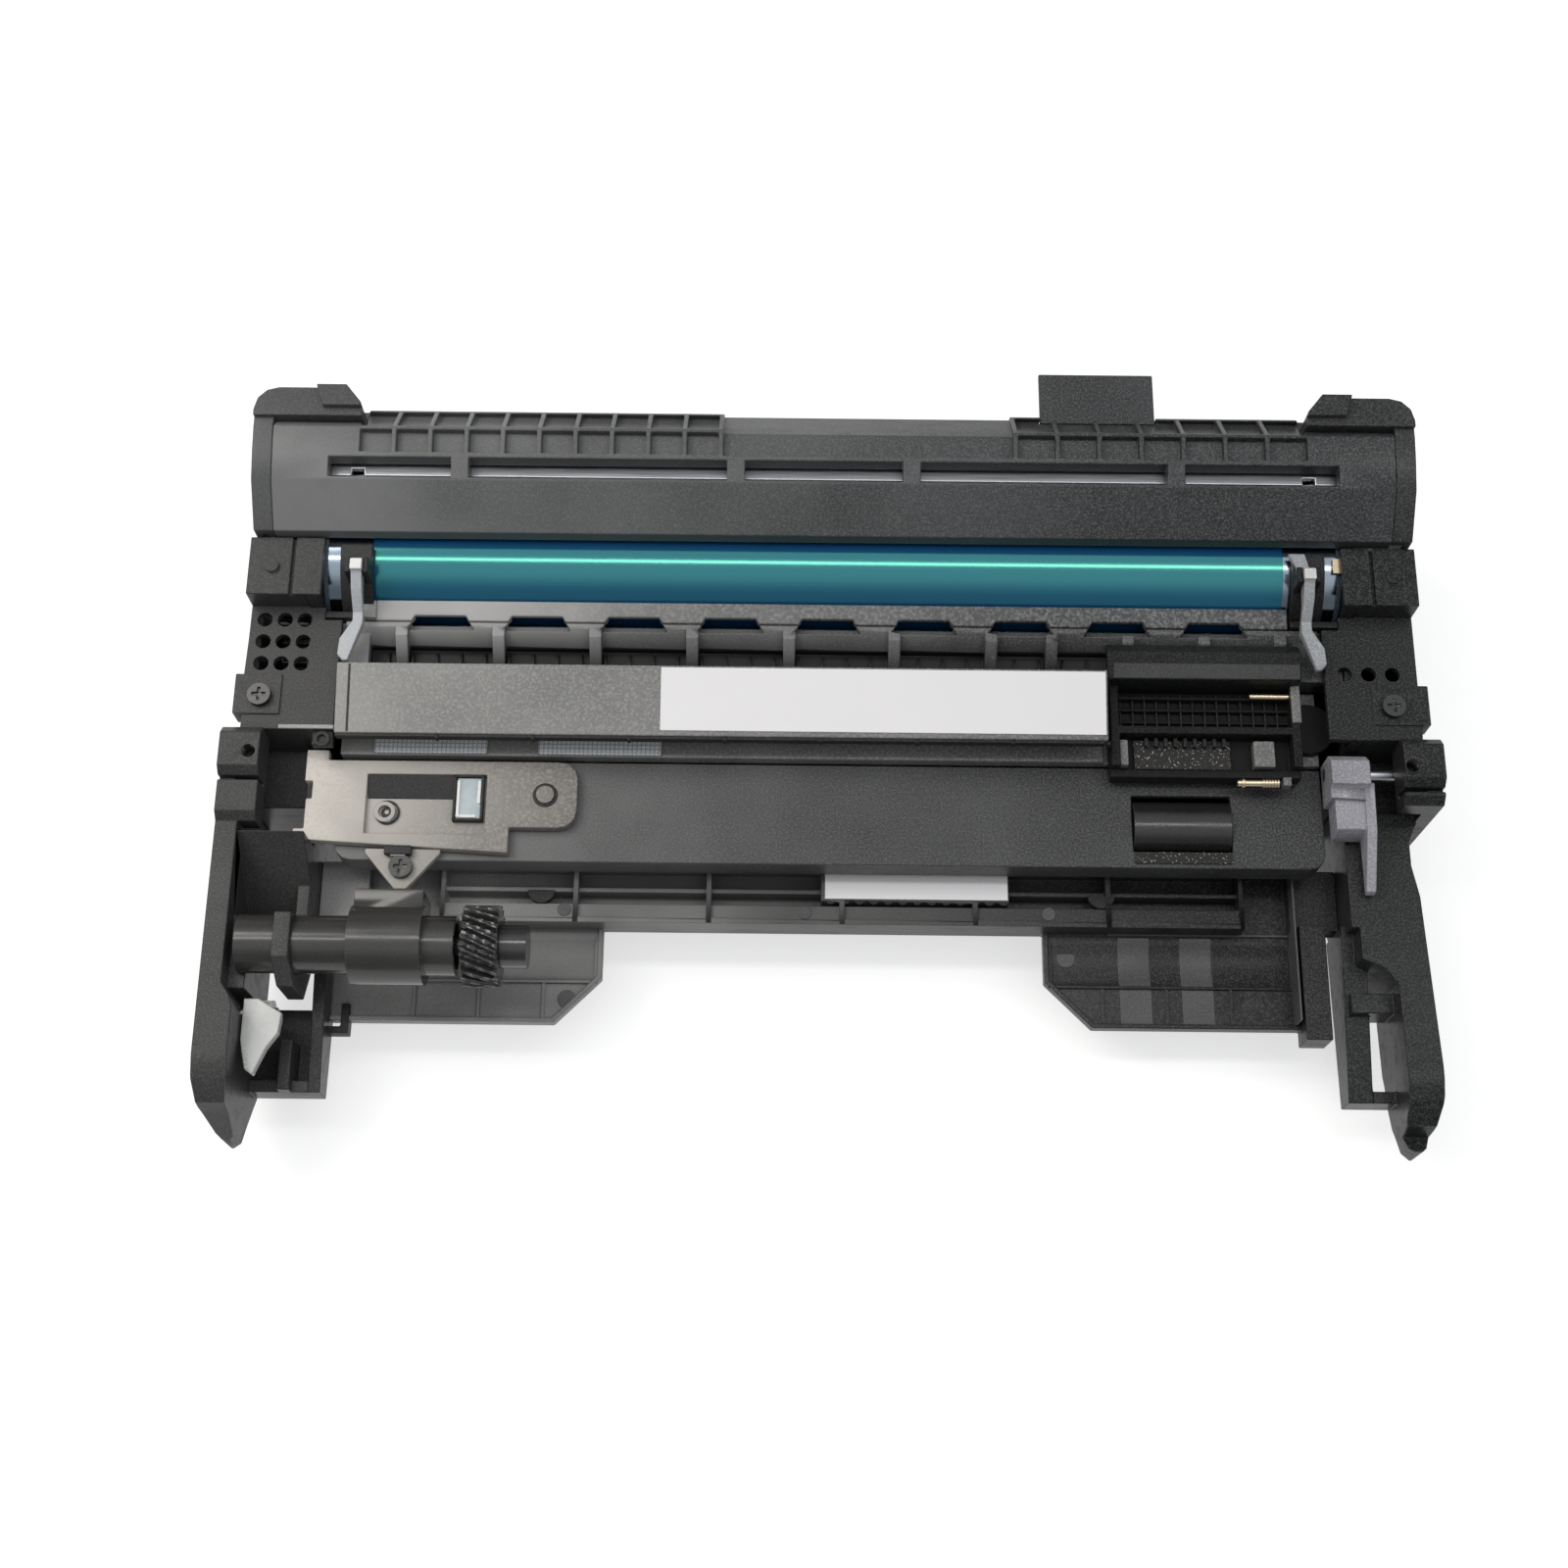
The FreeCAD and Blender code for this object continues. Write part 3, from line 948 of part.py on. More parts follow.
def make_developer_housing():
    trough = [("-front_wall_y", "floor_z"), ("back_floor_y", "floor_z"), ("back_lip_y - 1", "back_lip_z - 5"),
              ("back_lip_y", "back_lip_z"), ("back_lip_y - wall", "back_lip_z"),
              ("back_lip_y - wall - 1", "back_lip_z - 3.5"), ("back_floor_y - 0.6", "floor_z + wall"),
              ("-front_wall_y + wall", "floor_z + wall"), ("-front_wall_y + wall", "deck_z - wall"),
              ("-front_wall_y", "deck_z - wall")]
    body = [run("trough", trough, "-(inner_half - fit)", "inner_half - fit")]
    deck = [("-deck_front", "deck_skirt"), ("-deck_front + wall", "deck_skirt"),
            ("-deck_front + wall", "deck_z - wall"),
            ("-deck_back", "deck_z - wall"), ("-deck_back", "deck_z"), ("-deck_front", "deck_z")]
    plan = [("-deck_half", "0"), ("deck_half", "0")]
    plan += bend("deck_half - deck_round", "-(deck_front - deck_round)", "deck_round", 0, -90)
    plan += bend("-(deck_half - deck_round)", "-(deck_front - deck_round)", "deck_round", -90, -180)
    body.append(common("deck", run("deck_run", deck, "-deck_half", "deck_half"),
                       slab("deck_plan", plan, "deck_skirt - 1", "deck_z + 1")))
    well = box("shutter_well", ("shutter_left - slack", "shutter_right + slack"),
               ("shutter_y - shutter_radius - slack", "shutter_y + shutter_radius + slack"),
               ("deck_z - 4", "deck_z + 1"))
    window = box("window_well", ("-window_left", "-window_right"), ("-window_front", "-window_back"),
                 ("deck_z - 1", "deck_z + 1"))
    tab = rod("tab_hole", "z", ("tab_x", "tab_y"), "shank_radius + fit", "deck_z - 9", "deck_z + 1")
    for i, place in enumerate(("shutter_left - 2.5", "shutter_right + 0.5")):
        body.append(box("cheek_%d" % i, (place, "%s + 2" % place), ("shutter_y - 3", "shutter_y + 3"),
                        ("shutter_z - 3", "deck_z - wall")))
    pivot = rod("cheek_bore", "x", ("shutter_y", "shutter_z"), "pivot_radius + fit", "shutter_left - 3",
                "shutter_right + 3")
    boss = rod("tab_boss", "z", ("tab_x", "tab_y"), "shank_radius + 1.6", "deck_skirt", "deck_z - 1")
    body.append(boss)
    node("developer_housing", cut("developer_housing", fuse("housing_body", body),
                                  [well, window, tab, pivot]))


def make_rollers():
    far = "gear_start + gear_width + axle_end"
    roller = turned("developer_roller", ROLLER,
                    [("-(%s)" % far, "0"), ("plate_out", "0"), ("plate_out", "roller_shaft"),
                     ("sleeve_half", "roller_shaft"),
                     ("sleeve_half", "roller_radius"),
                     ("-sleeve_half", "roller_radius"),
                     ("-sleeve_half", "roller_shaft"),
                     ("-(%s)" % far, "roller_shaft")])
    node("developer_roller", roller)
    gear("roller_gear", "roller_teeth", ROLLER, "roller_shaft", TURNS["roller"])
    for name, centre in (("back_mixer", BACK_MIXER), ("front_mixer", FRONT_MIXER)):
        shaft = rod(name + "_shaft_body", "x", centre, "mixer_shaft", "-(%s)" % far, "plate_out")
        paddles = []
        for i in range(4):
            middle = "%d * sleeve_half / 4" % (2 * i - 3)
            ends = ("%s - sleeve_half / 4 + 1.5" % middle, "%s + sleeve_half / 4 - 1.5" % middle)
            reach = ("mixer_reach", "paddle_wall / 2") if i % 2 else ("paddle_wall / 2", "mixer_reach")
            bounds = [("%s - %s" % pair, "%s + %s" % pair) for pair in zip(centre, reach)]
            paddles.append(box("%s_paddle_%d" % (name, i), ends, *bounds))
        node(name, fuse(name, [shaft] + paddles))
        gear(name + "_gear", name + "_teeth", centre, "mixer_shaft", TURNS[name])
    doctor = [("doctor_y", "doctor_low"), ("doctor_y + doctor_wall", "doctor_low"),
              ("doctor_y + doctor_wall", "guide_floor - fit"), ("doctor_y", "guide_floor - fit")]
    node("doctor_blade", run("doctor_blade", doctor, "-sleeve_half", "sleeve_half"))


def make_developer_cover():
    section = [("-ledge_front", "ledge_z - 4"), ("-ledge_front", "ledge_z"), ("ledge_back", "ledge_z"),
               ("ledge_back", "panel_front_z - 1.6"), ("panel_front", "panel_front_z - 1.6"),
               ("panel_front", "panel_front_z"), ("panel_back", "panel_back_z"),
               ("panel_back", "guide_floor"),
               ("panel_back - wall", "guide_floor"), ("panel_back - wall", "panel_back_z - 2.2"),
               ("ledge_back + wall", "panel_front_z - 1.6"), ("ledge_back + wall", "ledge_z - wall"),
               ("-ledge_front + wall", "ledge_z - wall"), ("-ledge_front + wall", "ledge_z - 4")]
    left = run("panel_section", section, "-panel_left", "panel_right")
    low = [("-ledge_front", "ledge_z - 4"), ("-ledge_front", "ledge_z - 1.6"),
           ("panel_back", "ledge_z - 1.6"),
           ("panel_back", "ledge_z - 4")]
    right = run("cover_floor_right", low, "panel_right", "panel_left")
    node("developer_cover", fuse("developer_cover", [left, right]))
    rise = "(panel_back_z - panel_front_z) / (panel_back - panel_front)"
    label = [("label_front", "panel_front_z + %s * (label_front - panel_front)" % rise),
             ("label_back", "panel_front_z + %s * (label_back - panel_front)" % rise),
             ("label_back", "panel_front_z + %s * (label_back - panel_front) + label_thick" % rise),
             ("label_front", "panel_front_z + %s * (label_front - panel_front) + label_thick" % rise)]
    node("label_plate", run("label_plate", label, "-label_left", "label_right"))
    strips = []
    for name, low, high in (("a", "seal_left", "seal_split_a"), ("b", "seal_split_b", "seal_right")):
        strips.append(box("seal_" + name, (low, high), ("-ledge_front + 0.3", "ledge_back - 0.1"),
                          ("ledge_z", "seal_top")))
    node("seal_strips", group("seal_strips", strips))


def make_guide():
    floor = [("panel_back + fit", "guide_floor"), ("guide_crest_y", "guide_floor"),
             ("guide_crest_y", "guide_crest"),
             ("guide_crest_y - 1.4", "guide_crest"), ("guide_foot_y", "guide_lip"),
             ("guide_foot_y", "guide_foot"),
             ("panel_back + fit", "guide_foot")]
    body = [run("guide_ramp", floor, "-guide_half", "guide_half")]
    fin = [("panel_back + 3", "guide_foot"), ("guide_crest_y - 1", "guide_foot"),
           ("guide_crest_y - 1", "guide_crest + 0.6"), ("guide_crest_y - 4", "guide_crest + 0.6"),
           ("panel_back + 3", "guide_foot + 2")]
    for name, pitch in (("left", "fin_pitch"), ("middle", "fin_pitch"), ("right", "fins_right_pitch")):
        first = "fins_%s_x" % name
        body.append(row(run("%s_fins" % name, fin, first, first + " + fin"), pitch, "fins_%s_count" % name))
    fine = [("panel_back + fit", "guide_foot"), ("guide_foot_y - 1", "guide_foot"),
            ("guide_foot_y - 1", "guide_foot + 0.8"),
            ("panel_back + fit", "guide_foot + 3")]
    body.append(row(run("fine_ribs", fine, "-guide_half + 4", "-guide_half + 4.6"), "fine_rib_pitch",
                    "fine_rib_count"))
    for label, side in SIDES:
        body.append(box(label + "_guide_end", span(side, "guide_half - 6", "inner_half - fit"),
                        ("panel_back + fit", "guide_crest_y"), ("guide_floor", "guide_crest - 1.4")))
    start = "fins_left_x + notch_gap"
    front = "guide_crest_y - 2"
    notch = [(start, front), ("%s + notch_width" % start, front),
             ("%s + notch_width - notch_slant" % start, front + " + notch_depth"),
             ("%s + notch_slant" % start, front + " + notch_depth")]
    comb = row(slab("guide_notches", notch, "guide_crest - notch_below", "strip_z + 1"), "fin_pitch",
               "notch_count")
    node("paper_guide", cut("paper_guide", fuse("guide_body", body), [comb]))
    strip = [("guide_crest_y + fit", "guide_crest - 1.6"), ("guide_crest_y + fit", "strip_z - 1"),
             ("strip_back", "strip_z"), ("strip_back", "strip_z - 1"), ("guide_crest_y + 1.2", "strip_z - 2"),
             ("guide_crest_y + 1.2", "guide_crest - 1.6")]
    node("guide_strip", cut("guide_strip", run("strip_run", strip, "-strip_half", "strip_half"), [comb]))


# Sensor cover, its window and stud

def make_sensor_cover():
    outline = [("-lid_left", "-lid_back"), ("-(lid_left - 5.5)", "-lid_back"),
               ("-(lid_left - 5.5)", "-lid_lobe_back")]
    outline += bend("-(lid_right + lid_round)", "-(lid_lobe_back + lid_round)", "lid_round", 90, 0)
    outline += bend("-(lid_right + lid_round)", "-(lid_neck - lid_round)", "lid_round", 0, -90)
    outline += [("-lid_mid", "-lid_neck"), ("-lid_mid", "-lid_front"),
                ("-lid_ear", "-(bridge_back - slack)"), ("-lid_ear", "-(bridge_back - 3)"),
                ("-(lid_left - 0.6)", "-(bridge_back - 3)"), ("-(lid_left - 0.6)", "-13.2"),
                ("-(lid_left - 2)", "-13.2"), ("-(lid_left - 2)", "-8.6"), ("-lid_left", "-8.6")]
    base = slab("lid_plate", outline, "deck_z", "lid_top")
    tab = slab("lid_tab", [("tab_x - tab_half", "-lid_front + 1"), ("tab_x + tab_half", "-lid_front + 1"),
                           ("tab_x + tab_half", "-lid_front"), ("tab_x + 1.5", "-tab_point"),
                           ("tab_x - 1.5", "-tab_point"), ("tab_x - tab_half", "-lid_front")],
               "deck_z + fit", "lid_top - 1")
    boss = cut("lid_boss", rod("lid_boss_out", "z", ("boss_x", "boss_y"), "boss_radius", "pocket_z - 0.2",
                               "lid_top - 0.4"),
               [rod("lid_boss_in", "z", ("boss_x", "boss_y"), "boss_radius - 1", "pocket_z", "lid_top")])
    stud = rod("lid_stud", "z", ("stud_x", "stud_y"), "stud_radius", "lid_top - 1", "lid_top + 0.8")
    pocket = box("lid_pocket", ("-pocket_left", "-pocket_right"), ("-pocket_front", "-pocket_back"),
                 ("pocket_z", "lid_top + 1"))
    window = box("lid_window", ("-window_left", "-window_right"), ("-window_front", "-window_back"),
                 ("deck_z - 1", "lid_top"))
    hole = rod("lid_screw_hole", "z", ("tab_x", "tab_y"), "shank_radius + fit", "deck_z - 1", "lid_top")
    plate = cut("lid_open", base, [pocket, window])
    node("sensor_cover", cut("sensor_cover", fuse("lid_body", [plate, tab, boss, stud]), [hole]))
    node("sensor_window", box("sensor_window", ("-window_left + fit", "-window_right - fit"),
                              ("-window_front + fit", "-window_back - fit"), ("deck_z", "lid_top - 0.6")))


# Toner port: frame, bar, shutter, seals, pins

def make_port():
    shell = box("port_block", ("port_left", "port_right"), ("-port_front", "panel_back"),
                ("ledge_z - 1.5", "port_top"))
    bar = run("port_bar", [("port_rise", "ledge_z"), ("panel_back", "ledge_z"),
                           ("panel_back", "port_bar_low"),
                           ("port_rear", "port_bar_low"), ("port_rear", "port_bar_top - 2.2"),
                           ("port_rear - 2.6", "port_bar_top"), ("port_rise", "port_bar_top - 1.6")],
              "port_left - 1", "port_right")
    well = box("port_well", ("port_left + port_wall", "port_right - port_wall"), ("well_front", "port_rise"),
               ("ledge_z + 1", "port_top + 1"))
    step = box("port_step", ("port_left + port_wall", "port_right - port_wall"),
               ("-port_front + wall", "well_front - wall"), ("port_top - 5", "port_top + 1"))
    low = box("port_front_step", ("port_left - 1", "port_right + 1"),
              ("-port_front - 1", "-port_front + wall"),
              ("port_top - 3", "port_top + 1"))
    rib = []
    for i in range(3):
        place = "well_front + %d" % (3 * i + 2)
        rib.append(box("well_rib_%d" % i, ("port_left + port_wall", "port_right - port_wall"),
                       (place, "%s + 0.8" % place), ("ledge_z + 0.5", "ledge_z + 2.2 + %d * 0.6" % i)))
    body = cut("port_hollow", fuse("port_body", [shell, bar]), [well, step, low])
    disc = rod("half_disc", "z", ("half_disc_x", "half_disc_y"), "half_disc_radius", "ledge_z - 1.6 + fit",
               "ledge_z + 1")
    keep = box("half_disc_side", ("port_right - 1", "half_disc_x + 8"),
               ("half_disc_y - 9", "half_disc_y + 9"),
               ("deck_z", "deck_z + 4"))
    half = common("half_disc_cut", disc, keep)
    node("port_frame", fuse("port_frame", [body, half] + rib))
    foam = [box("foam_top", ("shutter_left", "shutter_right"),
                ("-port_front + wall + 0.4", "well_front - wall - 0.4"),
                ("port_top - 5", "port_top - 5 + seal_thick")),
            box("foam_rim", ("shutter_left", "shutter_right"),
                ("shutter_y - shutter_radius - 3.4", "shutter_y - shutter_radius - 0.6"),
                ("deck_z", "deck_z + 0.6"))]
    node("port_seals", group("port_seals", foam))
    pins = [rod("pin_upper", "x", ("well_front + 8.6", "port_top - 1.6"), "pin_radius", "port_right - 12",
                "port_right - port_wall"),
            rod("pin_lower", "x", ("-port_front - pin_radius - 0.4", "ledge_z + 3"), "pin_radius",
                "shutter_right + 1",
                "shutter_right + 11")]
    node("port_pins", group("port_pins", pins))


def make_shutter():
    centre = ("shutter_y", "shutter_z")
    ends = ("shutter_left", "shutter_right")
    drum = rod("shutter_outer", "x", centre, "shutter_radius", *ends)
    inner = rod("shutter_inner", "x", centre, "shutter_radius - shutter_wall", "shutter_left + 1.5",
                "shutter_right - 1.5")
    below = box("shutter_below", ("shutter_left - 1", "shutter_right + 1"),
                ("shutter_y - shutter_radius - 1", "shutter_y + shutter_radius + 1"),
                ("shutter_z - shutter_radius - 1", "shutter_z - 1.8"))
    pivot = rod("shutter_pivot", "x", centre, "pivot_radius", "shutter_left - 2", "shutter_right + 2")
    node("port_shutter", fuse("port_shutter", [cut("shutter_shell", drum, [inner, below]), pivot]))


# Lower guide: ribbed frame and two wings

def make_lower_guide():
    base = box("lower_base", ("-wing_half", "wing_half"), ("-lower_front", "-lower_back - 1.1"),
               ("lower_floor - wing_wall", "lower_floor"))
    shelf = box("lower_shelf", ("-lower_left", "lower_right"), ("-lower_front", "-lower_shelf"),
                ("lower_floor - 1", "lower_z - 2"))
    lip = box("lower_lip", ("-lower_left", "lower_right"), ("-lower_front", "-lower_front + thin"),
              ("lower_floor - 1", "lower_z - 1.2"))
    middle = box("lower_rib", ("-lower_left", "lower_right"), ("-lower_mid", "-lower_mid + thin"),
                 ("lower_floor - 1", "lower_z - 3"))
    back = box("lower_wall", ("-lower_left", "lower_right"),
               ("-deck_front + wall + slack", "-deck_front + 2 * wall + slack"),
               ("lower_floor - 1", "deck_z - wall - fit"))
    body = [base, shelf, lip, middle, back]
    for i in range(7):
        place = "-lower_left + %d * (lower_left + lower_right - thin) / 6" % i
        bounds = (place, place + " + thin")
        body.append(box("lower_divider_%d" % i, bounds, ("-lower_front", "-deck_front + wall + slack + 1"),
                        ("lower_floor - 1", "lower_z - 1")))
    body.append(box("label_seat", ("tag_left - 1", "tag_right"),
                    ("-tag_front - 0.5", "-deck_front + wall + slack + 1"),
                    ("lower_floor - 1", "lower_z - 1")))
    for label, side in SIDES:
        inner = "wing_inner_left" if side < 0 else "wing_inner_right"
        flip = "-" if side < 0 else ""
        points = [("%s(%s)" % (flip, inner), "-lower_front + 1"),
                  ("%s(%s)" % (flip, inner), "-(wing_front - wing_chamfer)"),
                  ("%s(%s + wing_chamfer)" % (flip, inner), "-wing_front"),
                  ("%swing_half" % flip, "-wing_front"), ("%swing_half" % flip, "-lower_front + 1")]
        wing = slab(label + "_wing", points, "wing_z - wing_wall", "wing_z")
        rim = slab(label + "_wing_rim", points, "wing_z - 0.5", "wing_z + wing_rim")
        hollow_points = [("%s(%s + thin)" % (flip, inner), "-lower_front + 3"),
                         ("%s(%s + thin)" % (flip, inner), "-(wing_front - wing_chamfer - 0.5)"),
                         ("%s(%s + wing_chamfer + 0.5)" % (flip, inner), "-wing_front + thin"),
                         ("%s(wing_half + 1)" % flip, "-wing_front + thin"),
                         ("%s(wing_half + 1)" % flip, "-lower_front + 3")]
        hollow = slab(label + "_wing_hollow", hollow_points, "wing_z - 1", "wing_z + wing_rim + 1")
        edge = cut(label + "_wing_edge", rim, [hollow])
        groove = rod(label + "_wing_groove", "x",
                     ("-wing_groove_y", "wing_z + wing_groove_radius - wing_groove_depth"),
                     "wing_groove_radius", *span(side, inner + " + 2", "wing_half - 8"))
        body.append(cut(label + "_wing_plate", wing, [groove]))
        body.append(edge)
        for k, place in enumerate((14, 30, 46)):
            x_text = "%s + %d" % (inner, place)
            body.append(box("%s_wing_rib_%d" % (label, k), span(side, x_text, x_text + " + 0.8"),
                            ("-wing_front + 0.5", "-wing_groove_y - 5.8"), ("wing_z - 0.5", "wing_z + 0.6")))
        body.append(box(label + "_wing_line", span(side, inner + " + 1", "wing_half - 4"),
                        ("-wing_groove_y - 6.6", "-wing_groove_y - 5.8"), ("wing_z - 0.5", "wing_z + 0.8")))
        body.append(box(label + "_wing_foot", span(side, "wing_half - 8", "inner_half - fit"),
                        ("-plate_front + 2.5", "-bridge_back"), ("lower_floor - wing_wall", "lower_z - 4")))
    body.append(box("wing_block", ("wing_half - wing_block_width + 2", "wing_half - fit"),
                    ("-wing_block_front", "-lower_front + 1"), ("wing_z - wing_wall", "wing_block_top")))
    node("lower_guide", fuse("lower_guide", body))
    node("lower_label", box("lower_label", ("tag_left", "tag_right - 0.4"),
                            ("-tag_front", "-deck_front + 1.5"),
                            ("lower_z - 1", "lower_z - 0.6")))


# Toner supply tube with its screw and helical gear

def make_tube():
    barrel = [("-tube_left", "tube_bore"), ("-tube_left", "tube_collar"), ("-barrel_left", "tube_collar"),
              ("-barrel_left", "tube_radius"), ("-barrel_right", "tube_radius"),
              ("-barrel_right", "tube_neck"),
              ("-neck_end", "tube_neck"), ("-neck_end", "tube_bore")]
    tube = turned("tube_barrel", TUBE, barrel)
    duct = box("tube_duct", ("-barrel_left + 0.5", "-barrel_right - 0.5"), ("tube_y + 2", "-duct_back"),
               ("tube_z - 7", "duct_z"))
    bore = rod("tube_duct_bore", "x", TUBE, "tube_bore", "-barrel_left - 1", "-barrel_right + 1")
    duct_cut = cut("tube_duct_cut", duct, [bore])
    node("supply_tube", fuse("supply_tube", [tube, duct_cut]))
    shaft = turned("supply_screw", TUBE,
                   [("-(tube_left - 1)", "0"), ("-tube_end", "0"), ("-tube_end", "tube_end_radius"),
                    ("-(tube_gear_start - tube_gear_width - fit)", "tube_end_radius"),
                    ("-(tube_gear_start - tube_gear_width - fit)", "tube_shaft"),
                    ("-(tube_left - 1)", "tube_shaft")])
    doc.recompute()
    flight(shaft, TUBE, "-(tube_left - 2)", "tube_shaft", "tube_flight", "1", "tube_pitch",
           "tube_left - neck_end - 4")
    node("supply_screw", shaft)
    wheel = doc.addObject("Part::Feature", "supply_gear")
    wheel.Shape = gear_shape(int(size("tube_teeth")), size("tube_gear_module"), size("tube_gear_width"),
                             size("tube_shaft") + size("fit"), size("backlash"), 0.0,
                             math.radians(size("tube_twist")))
    wheel.Placement = FreeCAD.Placement(ZERO, FreeCAD.Rotation())
    bind(wheel, "Placement.Base.x", "-tube_gear_start")
    bind(wheel, "Placement.Base.y", TUBE[0])
    bind(wheel, "Placement.Base.z", TUBE[1])
    node("supply_gear", wheel)


# Drum clips and lift levers

def make_clips():
    for label, side in SIDES:
        outer = rod(label + "_clip_outer", "x", DRUM, "drum_radius + clip_gap + clip_wall",
                    *span(side, "clip_left", "clip_right"))
        inner = rod(label + "_clip_inner", "x", DRUM, "drum_radius + clip_gap",
                    *span(side, "clip_left - 1", "clip_right + 1"))
        reach = "drum_radius + clip_gap + clip_wall + 3"
        sector = run(label + "_clip_sector", [("drum_y", "drum_z"), ("drum_y - 0.5", "drum_z + %s" % reach),
                                              ("drum_y - (%s)" % reach, "drum_z + %s" % reach),
                                              ("drum_y - (%s)" % reach, "drum_z + 8")],
                     *span(side, "clip_left - 1", "clip_right + 1"))
        arch = common(label + "_clip_arch", cut(label + "_clip_ring", outer, [inner]), sector)
        foot = box(label + "_clip_foot", span(side, "clip_left", "inner_half - 1 - fit"),
                   ("guide_crest_y + 0.1", "drum_y - 15.5"), ("drum_z + 6", "drum_z + 10"))
        ears = []
        for k, (near, far) in enumerate((("lever_x - 1.6", "lever_x - slack"),
                                         ("lever_x + lever_wall + slack", "lever_x + lever_wall + 1.6"))):
            ears.append(box("%s_clip_ear_%d" % (label, k), span(side, near, far),
                            ("lever_y - 2", "lever_y + 2"),
                            ("drum_z + drum_radius - 1", "lever_z + 1.8")))
        pin = rod(label + "_clip_pin", "x", ("lever_y", "lever_z"), "lever_pin",
                  *span(side, "lever_x - 1.6", "lever_x + lever_wall + 1.6"))
        clear = rod(label + "_clip_clear", "x", DRUM, "drum_radius + clip_gap",
                    *span(side, "clip_left - 2", "inner_half"))
        body = cut(label + "_clip_body", fuse(label + "_clip_all", [arch, foot] + ears), [clear])
        node(label + "_drum_clip", fuse(label + "_drum_clip", [body, pin]))
        hub = rod(label + "_lever_hub", "x", ("lever_y", "lever_z"), "lever_hub",
                  *span(side, "lever_x", "lever_x + lever_wall"))
        view = run(label + "_lever_view",
                   [("lever_y", "lever_z + lever_hub - 0.2"), ("lever_y - 6", "lever_z - 0.6"),
                    ("lever_y - 10", "lever_low + 3"), ("lever_front", "lever_low + 1"),
                    ("lever_front", "lever_low - 0.6"), ("lever_y - 11", "lever_low"),
                    ("lever_y - 6.6", "lever_low + 4"),
                    ("lever_y", "lever_z - lever_hub + 0.2")],
                   *span(side, "lever_x - 1", "lever_x + lever_wall + lever_splay + 1"))
        plan = [("lever_x", "lever_y + 1"), ("lever_x + lever_wall", "lever_y + 1"),
                ("lever_x + lever_wall", "lever_bend_y"),
                ("lever_x + lever_wall + lever_splay", "lever_bend_y - 4.5"),
                ("lever_x + lever_wall + lever_splay + 0.4", "lever_front + 1.5"),
                ("lever_x + lever_splay + 0.8", "lever_front - 1"),
                ("lever_x + lever_splay - 1", "lever_front + 4"), ("lever_x", "lever_bend_y - 0.6")]
        arm = common(label + "_lever_arm", view,
                     slab(label + "_lever_plan", mirrored(side, plan), "lever_low - 2",
                          "lever_z + lever_hub + 1"))
        eye = rod(label + "_lever_eye", "x", ("lever_y", "lever_z"), "lever_pin + fit",
                  *span(side, "lever_x - 1", "lever_x + lever_wall + 1"))
        node(label + "_lift_lever", cut(label + "_lift_lever", fuse(label + "_lever_body", [hub, arm]),
                                        [eye]))


# Latches at the arms

